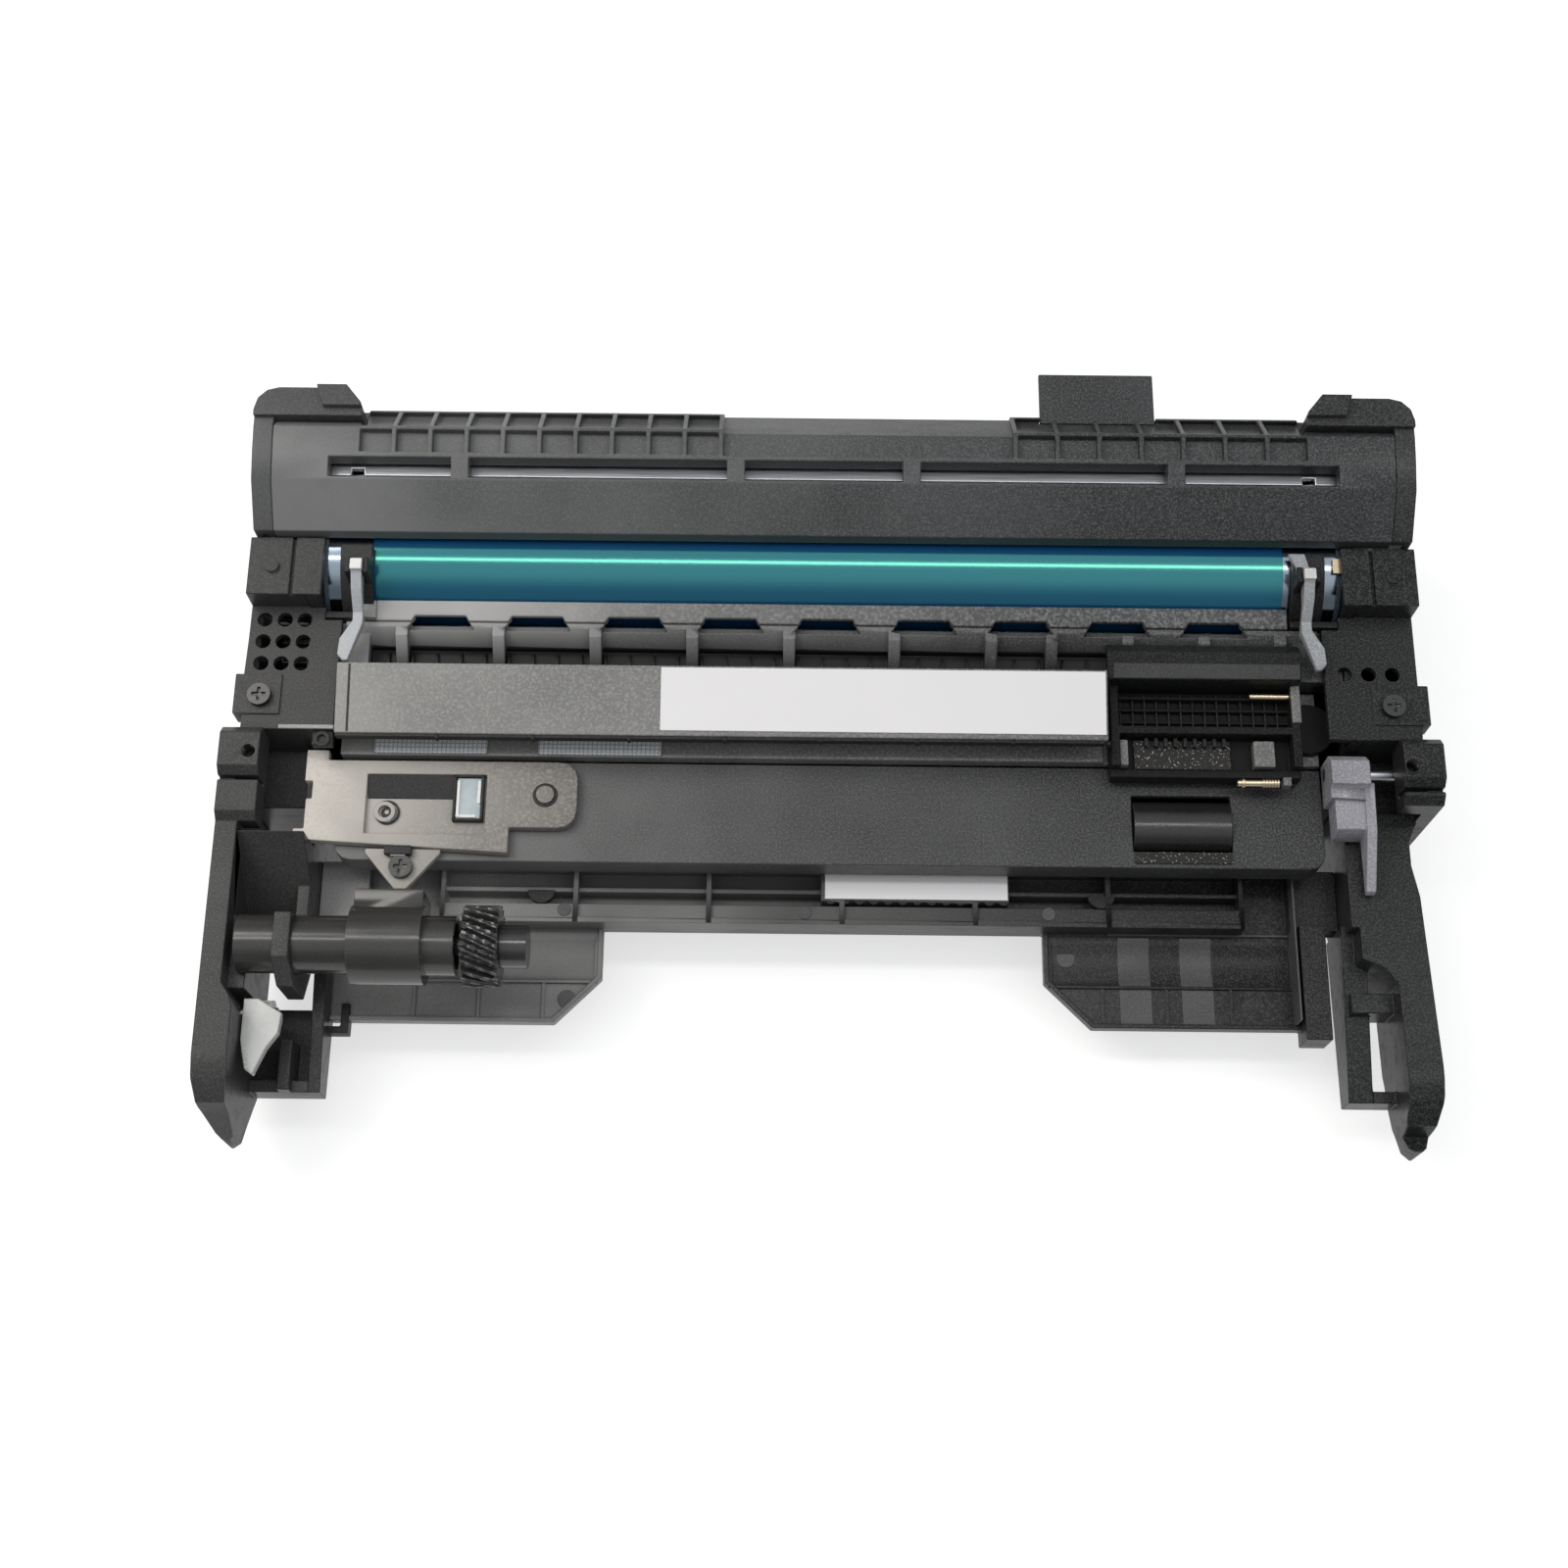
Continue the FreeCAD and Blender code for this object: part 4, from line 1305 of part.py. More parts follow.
def make_latches():
    centre = ("-left_latch_y", "left_latch_z")
    hub = rod("left_latch_hub", "x", centre, "latch_hub", "-(left_latch_x + 2.9)", "-(left_latch_x - 4)")
    outline = [("left_latch_x + 7", "-left_latch_y + 3"), ("left_latch_x - 0.7", "-left_latch_y + 3"),
               ("left_latch_x - 6.5", "-left_latch_y - 0.5"), ("left_latch_x - 6", "-left_latch_y - 5.4"),
               ("left_latch_x - 3.5", "-left_latch_y - 9"), ("left_latch_x - 1.6", "-left_latch_y - 13.5"),
               ("left_latch_x - 0.8", "-left_latch_y - 15.5"), ("left_latch_x + 1.2", "-left_latch_y - 14.2"),
               ("left_latch_x + 2.2", "-left_latch_y - 10"), ("left_latch_x + 3.6", "-left_latch_y - 3"),
               ("left_latch_x + 7", "-left_latch_y - 1.5")]
    flag = slab("left_latch_flag", mirrored(-1, outline), "left_latch_z + 0.5", "left_latch_z + 3.2")
    eye = rod("left_latch_eye", "x", centre, "latch_pin + fit", "-(left_latch_x + 5)", "-(left_latch_x - 8)")
    limit = box("left_latch_limit", ("-(arm_face - left_lobe_width - slack)", "-(left_latch_x - 8)"),
                ("-left_latch_y - 17", "-left_latch_y + 4"),
                ("left_latch_z - latch_hub - 1", "left_latch_z + 4"))
    latch = common("left_latch_trim", fuse("left_latch_body", [hub, flag]), limit)
    node("left_latch", cut("left_latch", latch, [eye]))
    left_pin = rod("left_latch_pin", "x", centre, "latch_pin", "-arm_face", "-(left_latch_x - 5)")
    centre = ("-right_latch_y", "right_latch_z")
    ends = ("inner_half - 5", "plate_out + 1.5")
    block = run("right_latch_block", [("-right_latch_y + 3.2", "right_latch_z - 3"),
                                      ("-right_latch_y + 3.2", "right_latch_z + 5"),
                                      ("-right_latch_y + 1", "right_latch_z + 8"),
                                      ("-right_latch_y - 5", "right_latch_z + 8"),
                                      ("-right_latch_y - 5.4", "right_latch_z + 5.5"),
                                      ("-right_latch_y - 8", "right_latch_z + 5.5"),
                                      ("-right_latch_y - 8", "right_latch_z - 3")], *ends)
    step = run("right_latch_step", [("-right_latch_y - 7", "right_latch_z - 3"),
                                    ("-right_latch_y - 7", "right_latch_z + 4.2"),
                                    ("-right_latch_y - 15.5", "right_latch_z + 4.2"),
                                    ("-right_latch_y - 16.5", "right_latch_z + 1"),
                                    ("-right_latch_y - 16.5", "right_latch_z - 3")],
               ends[0] + " + 1.2", ends[1])
    tail = run("right_latch_tail", [("-right_latch_y - 4", "right_latch_z - 2"),
                                    ("-right_latch_y - 4", "right_latch_z + 6"),
                                    ("-right_latch_y - 16", "right_latch_z + 5"),
                                    ("-right_latch_y - 30", "right_latch_z - 0.5"),
                                    ("-right_latch_y - 30.5", "right_latch_z - 2.5"),
                                    ("-right_latch_y - 16", "right_latch_z - 2")],
               "plate_out + 0.4", "plate_out + 2.8")
    eye = rod("right_latch_eye", "x", centre, "latch_pin + fit", "inner_half - 6", "plate_out + 4")
    node("right_latch", cut("right_latch", fuse("right_latch_body", [block, step, tail]), [eye]))
    right_pin = rod("right_latch_pin", "x", centre, "latch_pin", "inner_half - 5", "arm_face")
    node("latch_pins", group("latch_pins", [left_pin, right_pin]))


# Screws, locating pins and drum contact

def screw(name, x_text, y_text, seat):
    head = rod(name + "_head", "z", (x_text, y_text), "head_radius", seat, "%s + head_height" % seat)
    shank = rod(name + "_shank", "z", (x_text, y_text), "shank_radius", "%s - shank_length" % seat, seat)
    tools = []
    for i, (wide, deep) in enumerate((("1.7", "0.4"), ("0.4", "1.7"))):
        tools.append(box("%s_recess_%d" % (name, i),
                         ("(%s) - %s" % (x_text, wide), "(%s) + %s" % (x_text, wide)),
                         ("(%s) - %s" % (y_text, deep), "(%s) + %s" % (y_text, deep)),
                         ("%s + head_height - recess" % seat, "%s + head_height + 1" % seat)))
    return cut(name, fuse(name + "_solid", [head, shank]), tools)


def make_fasteners():
    screws = [screw("screw_left", "-(plate_out + left_screw_gap)", "screw_y", "cover_deck + 0.6"),
              screw("screw_right", "plate_out + right_screw_gap", "screw_y", "cover_deck + 0.6"),
              screw("screw_tab", "tab_x", "tab_y", "lid_top - 1")]
    node("screws", group("screws", screws))
    rise = "drum_z + drum_radius + slack"
    node("drum_contact", box("drum_contact", ("drum_half - 1.2", "inner_half - fit"),
                             ("drum_y - 5", "drum_y - 1"),
                             (rise, rise + " + contact_wall")))


make_drum()
make_left_frame()
make_right_frame()
for side_label, side_sign in SIDES:
    make_side_cover(side_label, side_sign)
make_cleaner_cover()
make_end_caps()
make_waste_trough()
make_tab()
make_blade()
make_waste_screw()
make_charge()
make_developer_housing()
make_rollers()
make_developer_cover()
make_guide()
make_sensor_cover()
make_port()
make_shutter()
make_lower_guide()
make_tube()
make_clips()
make_latches()
make_fasteners()
doc.recompute()

faults = [item.Label for item in doc.Objects if {"Invalid", "Error"} & set(item.State)]
if faults:
    raise RuntimeError("failed objects: " + ", ".join(faults))
for label, item in NODES.items():
    shape = item.Shape
    if shape.isNull() or not shape.isValid() or not shape.Solids:
        raise RuntimeError("bad shape: " + label)

os.makedirs("parts", exist_ok=True)
for label, item in NODES.items():
    item.Shape.exportStep("parts/%s.step" % label)
    print("%-20s solids %d volume %.0f" % (label, len(item.Shape.Solids), item.Shape.Volume))
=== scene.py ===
import json
import math

import bmesh
import bpy
from mathutils import Matrix, Vector


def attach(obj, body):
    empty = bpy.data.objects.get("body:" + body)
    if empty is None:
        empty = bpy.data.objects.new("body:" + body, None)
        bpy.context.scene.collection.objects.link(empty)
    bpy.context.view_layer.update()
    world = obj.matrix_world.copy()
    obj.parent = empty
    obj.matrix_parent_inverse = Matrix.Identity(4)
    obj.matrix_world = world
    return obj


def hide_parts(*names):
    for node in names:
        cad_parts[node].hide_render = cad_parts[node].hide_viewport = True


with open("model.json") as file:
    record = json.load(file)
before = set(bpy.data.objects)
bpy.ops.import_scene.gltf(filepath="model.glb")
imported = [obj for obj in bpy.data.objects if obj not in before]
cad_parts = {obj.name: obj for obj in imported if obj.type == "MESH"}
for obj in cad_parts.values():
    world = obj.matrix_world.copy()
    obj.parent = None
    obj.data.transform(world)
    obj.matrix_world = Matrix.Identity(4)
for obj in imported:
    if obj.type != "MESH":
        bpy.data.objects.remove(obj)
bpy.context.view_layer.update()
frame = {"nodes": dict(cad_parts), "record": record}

MM = 0.001
NODES = frame["nodes"]
BODY_OF = {node: body for body, nodes in frame["record"]["behaviour"]["bodies"].items() for node in nodes}
SLOT_OF = {part["node"]: part["material_slot"] for part in frame["record"]["subparts"]}


# Camera, light and floor

CAMERA_PLACE = (-0.01152, -0.19238, 0.54709)
CAMERA_TILT = 20.0
CAMERA_ROLL = 0.6
CAMERA_LENS = 50.0
CAMERA_SENSOR = 36.0


def make_camera():
    """Camera that looks down at the unit from the front, as in the photograph."""
    camera = bpy.data.objects.new("photo_camera", bpy.data.cameras.new("photo_camera"))
    camera.data.lens = CAMERA_LENS
    camera.data.sensor_width = CAMERA_SENSOR
    camera.data.clip_start = 0.01
    camera.matrix_world = (Matrix.Translation(CAMERA_PLACE)
                           @ Matrix.Rotation(math.radians(CAMERA_TILT), 4, "X")
                           @ Matrix.Rotation(math.radians(CAMERA_ROLL), 4, "Z"))
    bpy.context.scene.collection.objects.link(camera)
    bpy.context.scene.camera = camera


def make_lamp(name, place, target, width, depth, power, colour):
    """Soft rectangular lamp that faces a point."""
    lamp = bpy.data.lights.new(name, "AREA")
    lamp.shape = "RECTANGLE"
    lamp.size = width
    lamp.size_y = depth
    lamp.energy = power
    lamp.color = colour
    holder = bpy.data.objects.new(name, lamp)
    direction = Vector(target) - Vector(place)
    turn = direction.to_track_quat("-Z", "Y").to_matrix().to_4x4()
    holder.matrix_world = Matrix.Translation(place) @ turn
    bpy.context.scene.collection.objects.link(holder)


# Strength of the sky near the horizon and overhead, its share at the front, and its tint
SKY_LOW = 0.27
SKY_HIGH = 1.02
SKY_FRONT = 0.3
SKY_TINT = (0.97, 0.985, 1.0, 1.0)


def make_sky():
    """Soft overhead light: brightest above, dimmer towards the horizon and the front."""
    world = bpy.data.worlds.new("studio")
    bpy.context.scene.world = world
    world.use_nodes = True
    tree = world.node_tree
    tree.nodes.clear()
    split = tree.nodes.new("ShaderNodeSeparateXYZ")
    tree.links.new(tree.nodes.new("ShaderNodeTexCoord").outputs["Generated"], split.inputs["Vector"])
    above = add_ramp(tree, split.outputs["Z"], 0.45, 0.90)
    behind = add_ramp(tree, split.outputs["Y"], -0.90, -0.35)
    around = add_math(tree, "ADD", add_math(tree, "MULTIPLY", behind, 1.0 - SKY_FRONT), SKY_FRONT)
    share = add_math(tree, "MULTIPLY", above, around)
    glow = tree.nodes.new("ShaderNodeBackground")
    glow.inputs["Color"].default_value = SKY_TINT
    level = add_math(tree, "ADD", add_math(tree, "MULTIPLY", share, SKY_HIGH - SKY_LOW), SKY_LOW)
    tree.links.new(level, glow.inputs["Strength"])
    out = tree.nodes.new("ShaderNodeOutputWorld")
    tree.links.new(glow.outputs["Background"], out.inputs["Surface"])


# Name, place, target, width, depth, power and colour of each lamp
LAMPS = (
    ("left_window", (-0.55, 0.25, 0.75), (-0.05, 0.02, 0.03), 0.45, 0.45, 3.4, (1.0, 0.96, 0.90)),
    ("drum_strip", (0.0, 0.075, 0.95), (0.0, 0.05, 0.05), 1.6, 0.08, 3.2, (1.0, 1.0, 1.0)),
)
FLOOR_REACH = 4.0


def make_studio():
    """White floor, soft sky, a warm window at the left and a strip lamp above the drum."""
    make_sky()
    for lamp in LAMPS:
        make_lamp(*lamp)

    mesh = bpy.data.meshes.new("floor")
    bm = bmesh.new()
    bmesh.ops.create_grid(bm, x_segments=1, y_segments=1, size=FLOOR_REACH)
    bm.to_mesh(mesh)
    bm.free()
    floor = bpy.data.objects.new("floor", mesh)
    bpy.context.scene.collection.objects.link(floor)
    floor.data.materials.append(make_floor_finish())


def make_floor_finish():
    """White paper floor: full white where it is looked at or mirrored, with the unit's shadow kept."""
    finish = bpy.data.materials.new("floor_white")
    finish.use_nodes = True
    tree = finish.node_tree
    shade = tree.nodes["Principled BSDF"]
    shade.inputs["Base Color"].default_value = (0.80, 0.80, 0.80, 1.0)
    shade.inputs["Roughness"].default_value = 0.9
    shade.inputs["Specular IOR Level"].default_value = 0.0
    path = tree.nodes.new("ShaderNodeLightPath")
    glow = tree.nodes.new("ShaderNodeEmission")
    glow.inputs["Color"].default_value = (1.0, 1.0, 1.0, 1.0)
    glow.inputs["Strength"].default_value = 0.62
    paper = tree.nodes.new("ShaderNodeBsdfDiffuse")
    paper.inputs["Color"].default_value = (0.50, 0.50, 0.50, 1.0)
    total = tree.nodes.new("ShaderNodeAddShader")
    mix = tree.nodes.new("ShaderNodeMixShader")
    out = tree.nodes["Material Output"]
    mirrored = add_math(tree, "MAXIMUM", path.outputs["Is Glossy Ray"], path.outputs["Is Transmission Ray"])
    seen = add_math(tree, "MAXIMUM", path.outputs["Is Camera Ray"], mirrored)
    tree.links.new(paper.outputs["BSDF"], total.inputs[0])
    tree.links.new(glow.outputs["Emission"], total.inputs[1])
    tree.links.new(seen, mix.inputs["Fac"])
    tree.links.new(shade.outputs["BSDF"], mix.inputs[1])
    tree.links.new(total.outputs["Shader"], mix.inputs[2])
    tree.links.new(mix.outputs["Shader"], out.inputs["Surface"])
    return finish


# Shader groups that several finishes use

def start_group(name, inputs, outputs):
    """Empty node group with its sockets; returns the tree with its input and output nodes."""
    tree = bpy.data.node_groups.new(name, "ShaderNodeTree")
    for label, kind, value in inputs:
        socket = tree.interface.new_socket(label, in_out="INPUT", socket_type=kind)
        socket.default_value = value
    for label, kind in outputs:
        tree.interface.new_socket(label, in_out="OUTPUT", socket_type=kind)
    return tree, tree.nodes.new("NodeGroupInput"), tree.nodes.new("NodeGroupOutput")


def add_math(tree, operation, first, second, clamp=False):
    """Math node whose inputs are sockets or numbers; returns its output."""
    node = tree.nodes.new("ShaderNodeMath")
    node.operation = operation
    node.use_clamp = clamp
    for i, value in enumerate((first, second)):
        if isinstance(value, (int, float)):
            node.inputs[i].default_value = value
        else:
            tree.links.new(value, node.inputs[i])
    return node.outputs["Value"]


def add_noise(tree, coordinates, scale, detail, roughness=0.5):
    """Noise node on coordinates; the scale is a socket or a number."""
    node = tree.nodes.new("ShaderNodeTexNoise")
    node.inputs["Detail"].default_value = detail
    node.inputs["Roughness"].default_value = roughness
    tree.links.new(coordinates, node.inputs["Vector"])
    if isinstance(scale, (int, float)):
        node.inputs["Scale"].default_value = scale
    else:
        tree.links.new(scale, node.inputs["Scale"])
    return node.outputs["Fac"]


def add_ramp(tree, value, low, high):
    """Smooth step of a value between two levels."""
    node = tree.nodes.new("ShaderNodeMapRange")
    node.interpolation_type = "SMOOTHSTEP"
    node.inputs["From Min"].default_value = low
    node.inputs["From Max"].default_value = high
    tree.links.new(value, node.inputs["Value"])
    return node.outputs["Result"]


def make_grain_group():
    """Spark-eroded mould grain: its height, and a fine speckle for the colour."""
    tree, source, target = start_group(
        "mould_grain", [("Size", "NodeSocketFloat", 2600.0)],
        [("Height", "NodeSocketFloat"), ("Speckle", "NodeSocketFloat")])
    place = tree.nodes.new("ShaderNodeTexCoord").outputs["Object"]
    coarse = add_noise(tree, place, source.outputs["Size"], 3.0, 0.6)
    fine = add_noise(tree, place, add_math(tree, "MULTIPLY", source.outputs["Size"], 2.7), 1.0)
    height = add_math(tree, "ADD", coarse, add_math(tree, "MULTIPLY", fine, 0.4))
    tree.links.new(height, target.inputs["Height"])
    dots = add_noise(tree, place, add_math(tree, "MULTIPLY", source.outputs["Size"], 0.8), 2.0, 0.7)
    tree.links.new(add_ramp(tree, dots, 0.40, 0.74), target.inputs["Speckle"])
    return tree


# Places along X where the painted light, a paler tone on the left side, is full and where it ends
UNIT_LEFT = -0.145
UNIT_RIGHT = 0.135


def make_flow_and_light_group():
    """Wide clouds, smears along X, and painted light: a paler tone that grows towards the left end, the lit
    side.
    """
    tree, source, target = start_group(
        "flow_marks_and_painted_light", [("Size", "NodeSocketFloat", 22.0), ("Falloff", "NodeSocketFloat", 2.0)],
        [("Cloud", "NodeSocketFloat"), ("Smear", "NodeSocketFloat"), ("Painted_light", "NodeSocketFloat")])
    place = tree.nodes.new("ShaderNodeTexCoord").outputs["Object"]
    cloud = add_noise(tree, place, source.outputs["Size"], 3.0, 0.55)
    stretch = tree.nodes.new("ShaderNodeMapping")
    stretch.inputs["Scale"].default_value = (1.0, 3.5, 3.5)
    tree.links.new(place, stretch.inputs["Vector"])
    smear_size = add_math(tree, "MULTIPLY", source.outputs["Size"], 4.0)
    smear = add_noise(tree, stretch.outputs["Vector"], smear_size, 4.0, 0.6)
    cloudy = add_ramp(tree, cloud, 0.32, 0.68)
    tree.links.new(cloudy, target.inputs["Cloud"])
    tree.links.new(add_ramp(tree, smear, 0.45, 0.75), target.inputs["Smear"])
    # Painted light: paler towards the left end, broken by the clouds
    split = tree.nodes.new("ShaderNodeSeparateXYZ")
    tree.links.new(place, split.inputs["Vector"])
    side = tree.nodes.new("ShaderNodeMapRange")
    side.inputs["From Min"].default_value = UNIT_RIGHT
    side.inputs["From Max"].default_value = UNIT_LEFT
    tree.links.new(split.outputs["X"], side.inputs["Value"])
    fall = add_math(tree, "POWER", side.outputs["Result"], source.outputs["Falloff"], clamp=True)
    broken = add_math(tree, "ADD", add_math(tree, "MULTIPLY", cloudy, 0.5), 0.72)
    tree.links.new(add_math(tree, "MULTIPLY", fall, broken, clamp=True), target.inputs["Painted_light"])
    return tree


# Colour of the painted shade in recesses
RECESS_PAINTED_SHADE = (0.010, 0.010, 0.010)


def make_hollow_group():
    """Painted shade in recesses, by height: 0 at a recess's floor, 1 at the surface around it."""
    tree, source, target = start_group(
        "recess_shade", [("Floor", "NodeSocketFloat", 0.03), ("Top", "NodeSocketFloat", 0.04)],
        [("Open", "NodeSocketFloat")])
    split = tree.nodes.new("ShaderNodeSeparateXYZ")
    tree.links.new(tree.nodes.new("ShaderNodeTexCoord").outputs["Object"], split.inputs["Vector"])
    rise = tree.nodes.new("ShaderNodeMapRange")
    tree.links.new(split.outputs["Z"], rise.inputs["Value"])
    tree.links.new(source.outputs["Floor"], rise.inputs["From Min"])
    tree.links.new(source.outputs["Top"], rise.inputs["From Max"])
    tree.links.new(rise.outputs["Result"], target.inputs["Open"])
    return tree


def make_edge_group():
    """Rounded edges: a normal rounded over the edge, and a mask that is 1 on the edge for painted
    highlights.
    """
    tree, source, target = start_group(
        "rounded_edge_and_highlight", [("Radius", "NodeSocketFloat", 0.0003)],
        [("Edge", "NodeSocketFloat"), ("Normal", "NodeSocketVector")])
    soft = tree.nodes.new("ShaderNodeBevel")
    soft.samples = 4
    tree.links.new(source.outputs["Radius"], soft.inputs["Radius"])
    plain = tree.nodes.new("ShaderNodeNewGeometry")
    across = tree.nodes.new("ShaderNodeVectorMath")
    across.operation = "DOT_PRODUCT"
    tree.links.new(soft.outputs["Normal"], across.inputs[0])
    tree.links.new(plain.outputs["Normal"], across.inputs[1])
    away = add_math(tree, "SUBTRACT", 1.0, across.outputs["Value"], clamp=True)
    tree.links.new(add_ramp(tree, away, 0.02, 0.25), target.inputs["Edge"])
    tree.links.new(soft.outputs["Normal"], target.inputs["Normal"])
    return tree


GRAIN = make_grain_group()
FLOW_AND_LIGHT = make_flow_and_light_group()
EDGE = make_edge_group()
HOLLOW = make_hollow_group()


def place_group(tree, group, **values):
    """Group node in a material, with its own values."""
    node = tree.nodes.new("ShaderNodeGroup")
    node.node_tree = group
    for name, value in values.items():
        node.inputs[name].default_value = value
    return node


def mix_colours(tree, factor, first, second):
    """Colour mix; factor and colours are sockets or plain values."""
    node = tree.nodes.new("ShaderNodeMix")
    node.data_type = "RGBA"
    factor_socket, first_socket, second_socket = node.inputs[0], node.inputs[6], node.inputs[7]
    for socket, value in ((factor_socket, factor), (first_socket, first), (second_socket, second)):
        if isinstance(value, bpy.types.NodeSocket):
            tree.links.new(value, socket)
        elif isinstance(value, (int, float)):
            socket.default_value = value
        else:
            socket.default_value = (*value, 1.0)
    return node.outputs[2]


def start_finish(name):
    """New material with its node tree and its Principled shader."""
    finish = bpy.data.materials.new(name)
    finish.use_nodes = True
    return finish, finish.node_tree, finish.node_tree.nodes["Principled BSDF"]


ROUGHNESS_SPREAD = 0.12
# Radius of the rounded edges, and the share of painted highlight on them
EDGE_ROUNDING = 0.0003
EDGE_HIGHLIGHT_SHARE = 0.55


def moulded_plastic(name, dark, light, speckle_and_highlight, roughness, grain_size=2600.0, grain_depth=0.00003,
                    speckle=0.45, specular=0.20, falloff=2.0, clouds=0.4, deep=None):
    """Moulded plastic: dark at the right end, painted light towards the left end, grain, clouds, and
    painted highlights along the edges.
    """
    finish, tree, shade = start_finish(name)
    shade.inputs["Specular IOR Level"].default_value = specular
    grain = place_group(tree, GRAIN, Size=grain_size)
    marks_and_light = place_group(tree, FLOW_AND_LIGHT, Falloff=falloff)
    rim = place_group(tree, EDGE, Radius=EDGE_ROUNDING)
    dim = [(1.0 - clouds) * part for part in dark]
    clean = mix_colours(tree, marks_and_light.outputs["Cloud"], dim, dark)
    # Painted light: the colour turns to the light colour towards the left end
    painted_lit_base = mix_colours(tree, marks_and_light.outputs["Painted_light"], clean, light)
    dots = add_math(tree, "MULTIPLY", grain.outputs["Speckle"], speckle)
    dotted = mix_colours(tree, dots, painted_lit_base, speckle_and_highlight)
    # Painted highlight along the edges, in the speckle colour
    edge_highlight = add_math(tree, "MULTIPLY", rim.outputs["Edge"], EDGE_HIGHLIGHT_SHARE)
    colour = mix_colours(tree, edge_highlight, dotted, speckle_and_highlight)
    # Painted shade in recesses: darker towards each recess's floor
    if deep:
        hollow = place_group(tree, HOLLOW, Floor=deep[0], Top=deep[1])
        colour = mix_colours(tree, hollow.outputs["Open"], RECESS_PAINTED_SHADE, colour)
    tree.links.new(colour, shade.inputs["Base Color"])
    smear = add_math(tree, "SUBTRACT", marks_and_light.outputs["Smear"], 0.5)
    rough = add_math(tree, "MULTIPLY", smear, ROUGHNESS_SPREAD)
    tree.links.new(add_math(tree, "ADD", rough, roughness, clamp=True), shade.inputs["Roughness"])
    bump = tree.nodes.new("ShaderNodeBump")
    bump.inputs["Strength"].default_value = 0.6
    bump.inputs["Distance"].default_value = grain_depth
    tree.links.new(grain.outputs["Height"], bump.inputs["Height"])
    tree.links.new(rim.outputs["Normal"], bump.inputs["Normal"])
    tree.links.new(bump.outputs["Normal"], shade.inputs["Normal"])
    return finish


METAL_LINES = (1.0, 40.0, 40.0)


def metal(name, colour, roughness, metallic=1.0):
    """Drawn or turned metal with fine lines along X."""
    finish, tree, shade = start_finish(name)
    shade.inputs["Metallic"].default_value = metallic
    place = tree.nodes.new("ShaderNodeTexCoord").outputs["Object"]
    stretch = tree.nodes.new("ShaderNodeMapping")
    stretch.inputs["Scale"].default_value = METAL_LINES
    tree.links.new(place, stretch.inputs["Vector"])
    lines = add_noise(tree, stretch.outputs["Vector"], 60.0, 4.0, 0.6)
    dim = [0.72 * part for part in colour]
    tree.links.new(mix_colours(tree, lines, dim, colour), shade.inputs["Base Color"])
    rough = add_math(tree, "ADD", add_math(tree, "MULTIPLY", lines, 0.25), roughness - 0.12, clamp=True)
    tree.links.new(rough, shade.inputs["Roughness"])
    bump = tree.nodes.new("ShaderNodeBump")
    bump.inputs["Strength"].default_value = 0.3
    bump.inputs["Distance"].default_value = 0.00001
    tree.links.new(lines, bump.inputs["Height"])
    rim = place_group(tree, EDGE, Radius=0.0002)
    tree.links.new(rim.outputs["Normal"], bump.inputs["Normal"])
    tree.links.new(bump.outputs["Normal"], shade.inputs["Normal"])
    return finish


def drum_coating():
    """Blue-green photoconductor over aluminium: blue body, green gloss, faint bands along the tube."""
    finish, tree, shade = start_finish("drum_coating")
    place = tree.nodes.new("ShaderNodeTexCoord").outputs["Object"]
    stretch = tree.nodes.new("ShaderNodeMapping")
    stretch.inputs["Scale"].default_value = (6.0, 60.0, 60.0)
    tree.links.new(place, stretch.inputs["Vector"])
    bands = add_noise(tree, stretch.outputs["Vector"], 1.0, 3.0)
    tree.links.new(mix_colours(tree, bands, (0.004, 0.040, 0.130), (0.008, 0.062, 0.155)),
                   shade.inputs["Base Color"])
    rough = add_math(tree, "ADD", add_math(tree, "MULTIPLY", bands, 0.06), 0.10)
    tree.links.new(rough, shade.inputs["Roughness"])
    shade.inputs["IOR"].default_value = 2.3
    shade.inputs["Specular Tint"].default_value = (0.26, 1.0, 0.66, 1.0)
    return finish


def clear_window():
    """Clear pane of the sensor window, faintly blue and cloudy."""
    finish, tree, shade = start_finish("window_clear")
    marks_and_light = place_group(tree, FLOW_AND_LIGHT, Size=160.0)
    tree.links.new(mix_colours(tree, marks_and_light.outputs["Cloud"], (0.55, 0.68, 0.74), (0.82, 0.90, 0.93)),
                   shade.inputs["Base Color"])
    shade.inputs["Roughness"].default_value = 0.08
    shade.inputs["IOR"].default_value = 1.45
    shade.inputs["Transmission Weight"].default_value = 0.55
    return finish


def opal_plastic():
    """Opal plastic of the left latch: milky, lets some light through, lightly smeared."""
    finish, tree, shade = start_finish("latch_opal")
    marks_and_light = place_group(tree, FLOW_AND_LIGHT, Size=90.0)
    rim = place_group(tree, EDGE, Radius=0.0005)
    milky = mix_colours(tree, marks_and_light.outputs["Cloud"], (0.58, 0.59, 0.57), (0.74, 0.75, 0.72))
    # Painted highlight along the edges of the latch
    edge_highlight = add_math(tree, "MULTIPLY", rim.outputs["Edge"], 0.6)
    colour = mix_colours(tree, edge_highlight, milky, (0.74, 0.75, 0.73))
    tree.links.new(colour, shade.inputs["Base Color"])
    rough = add_math(tree, "ADD", add_math(tree, "MULTIPLY", marks_and_light.outputs["Smear"], 0.15), 0.18)
    tree.links.new(rough, shade.inputs["Roughness"])
    shade.inputs["Transmission Weight"].default_value = 0.30
    tree.links.new(rim.outputs["Normal"], shade.inputs["Normal"])
    return finish


FOAM_MESH = 0.0011


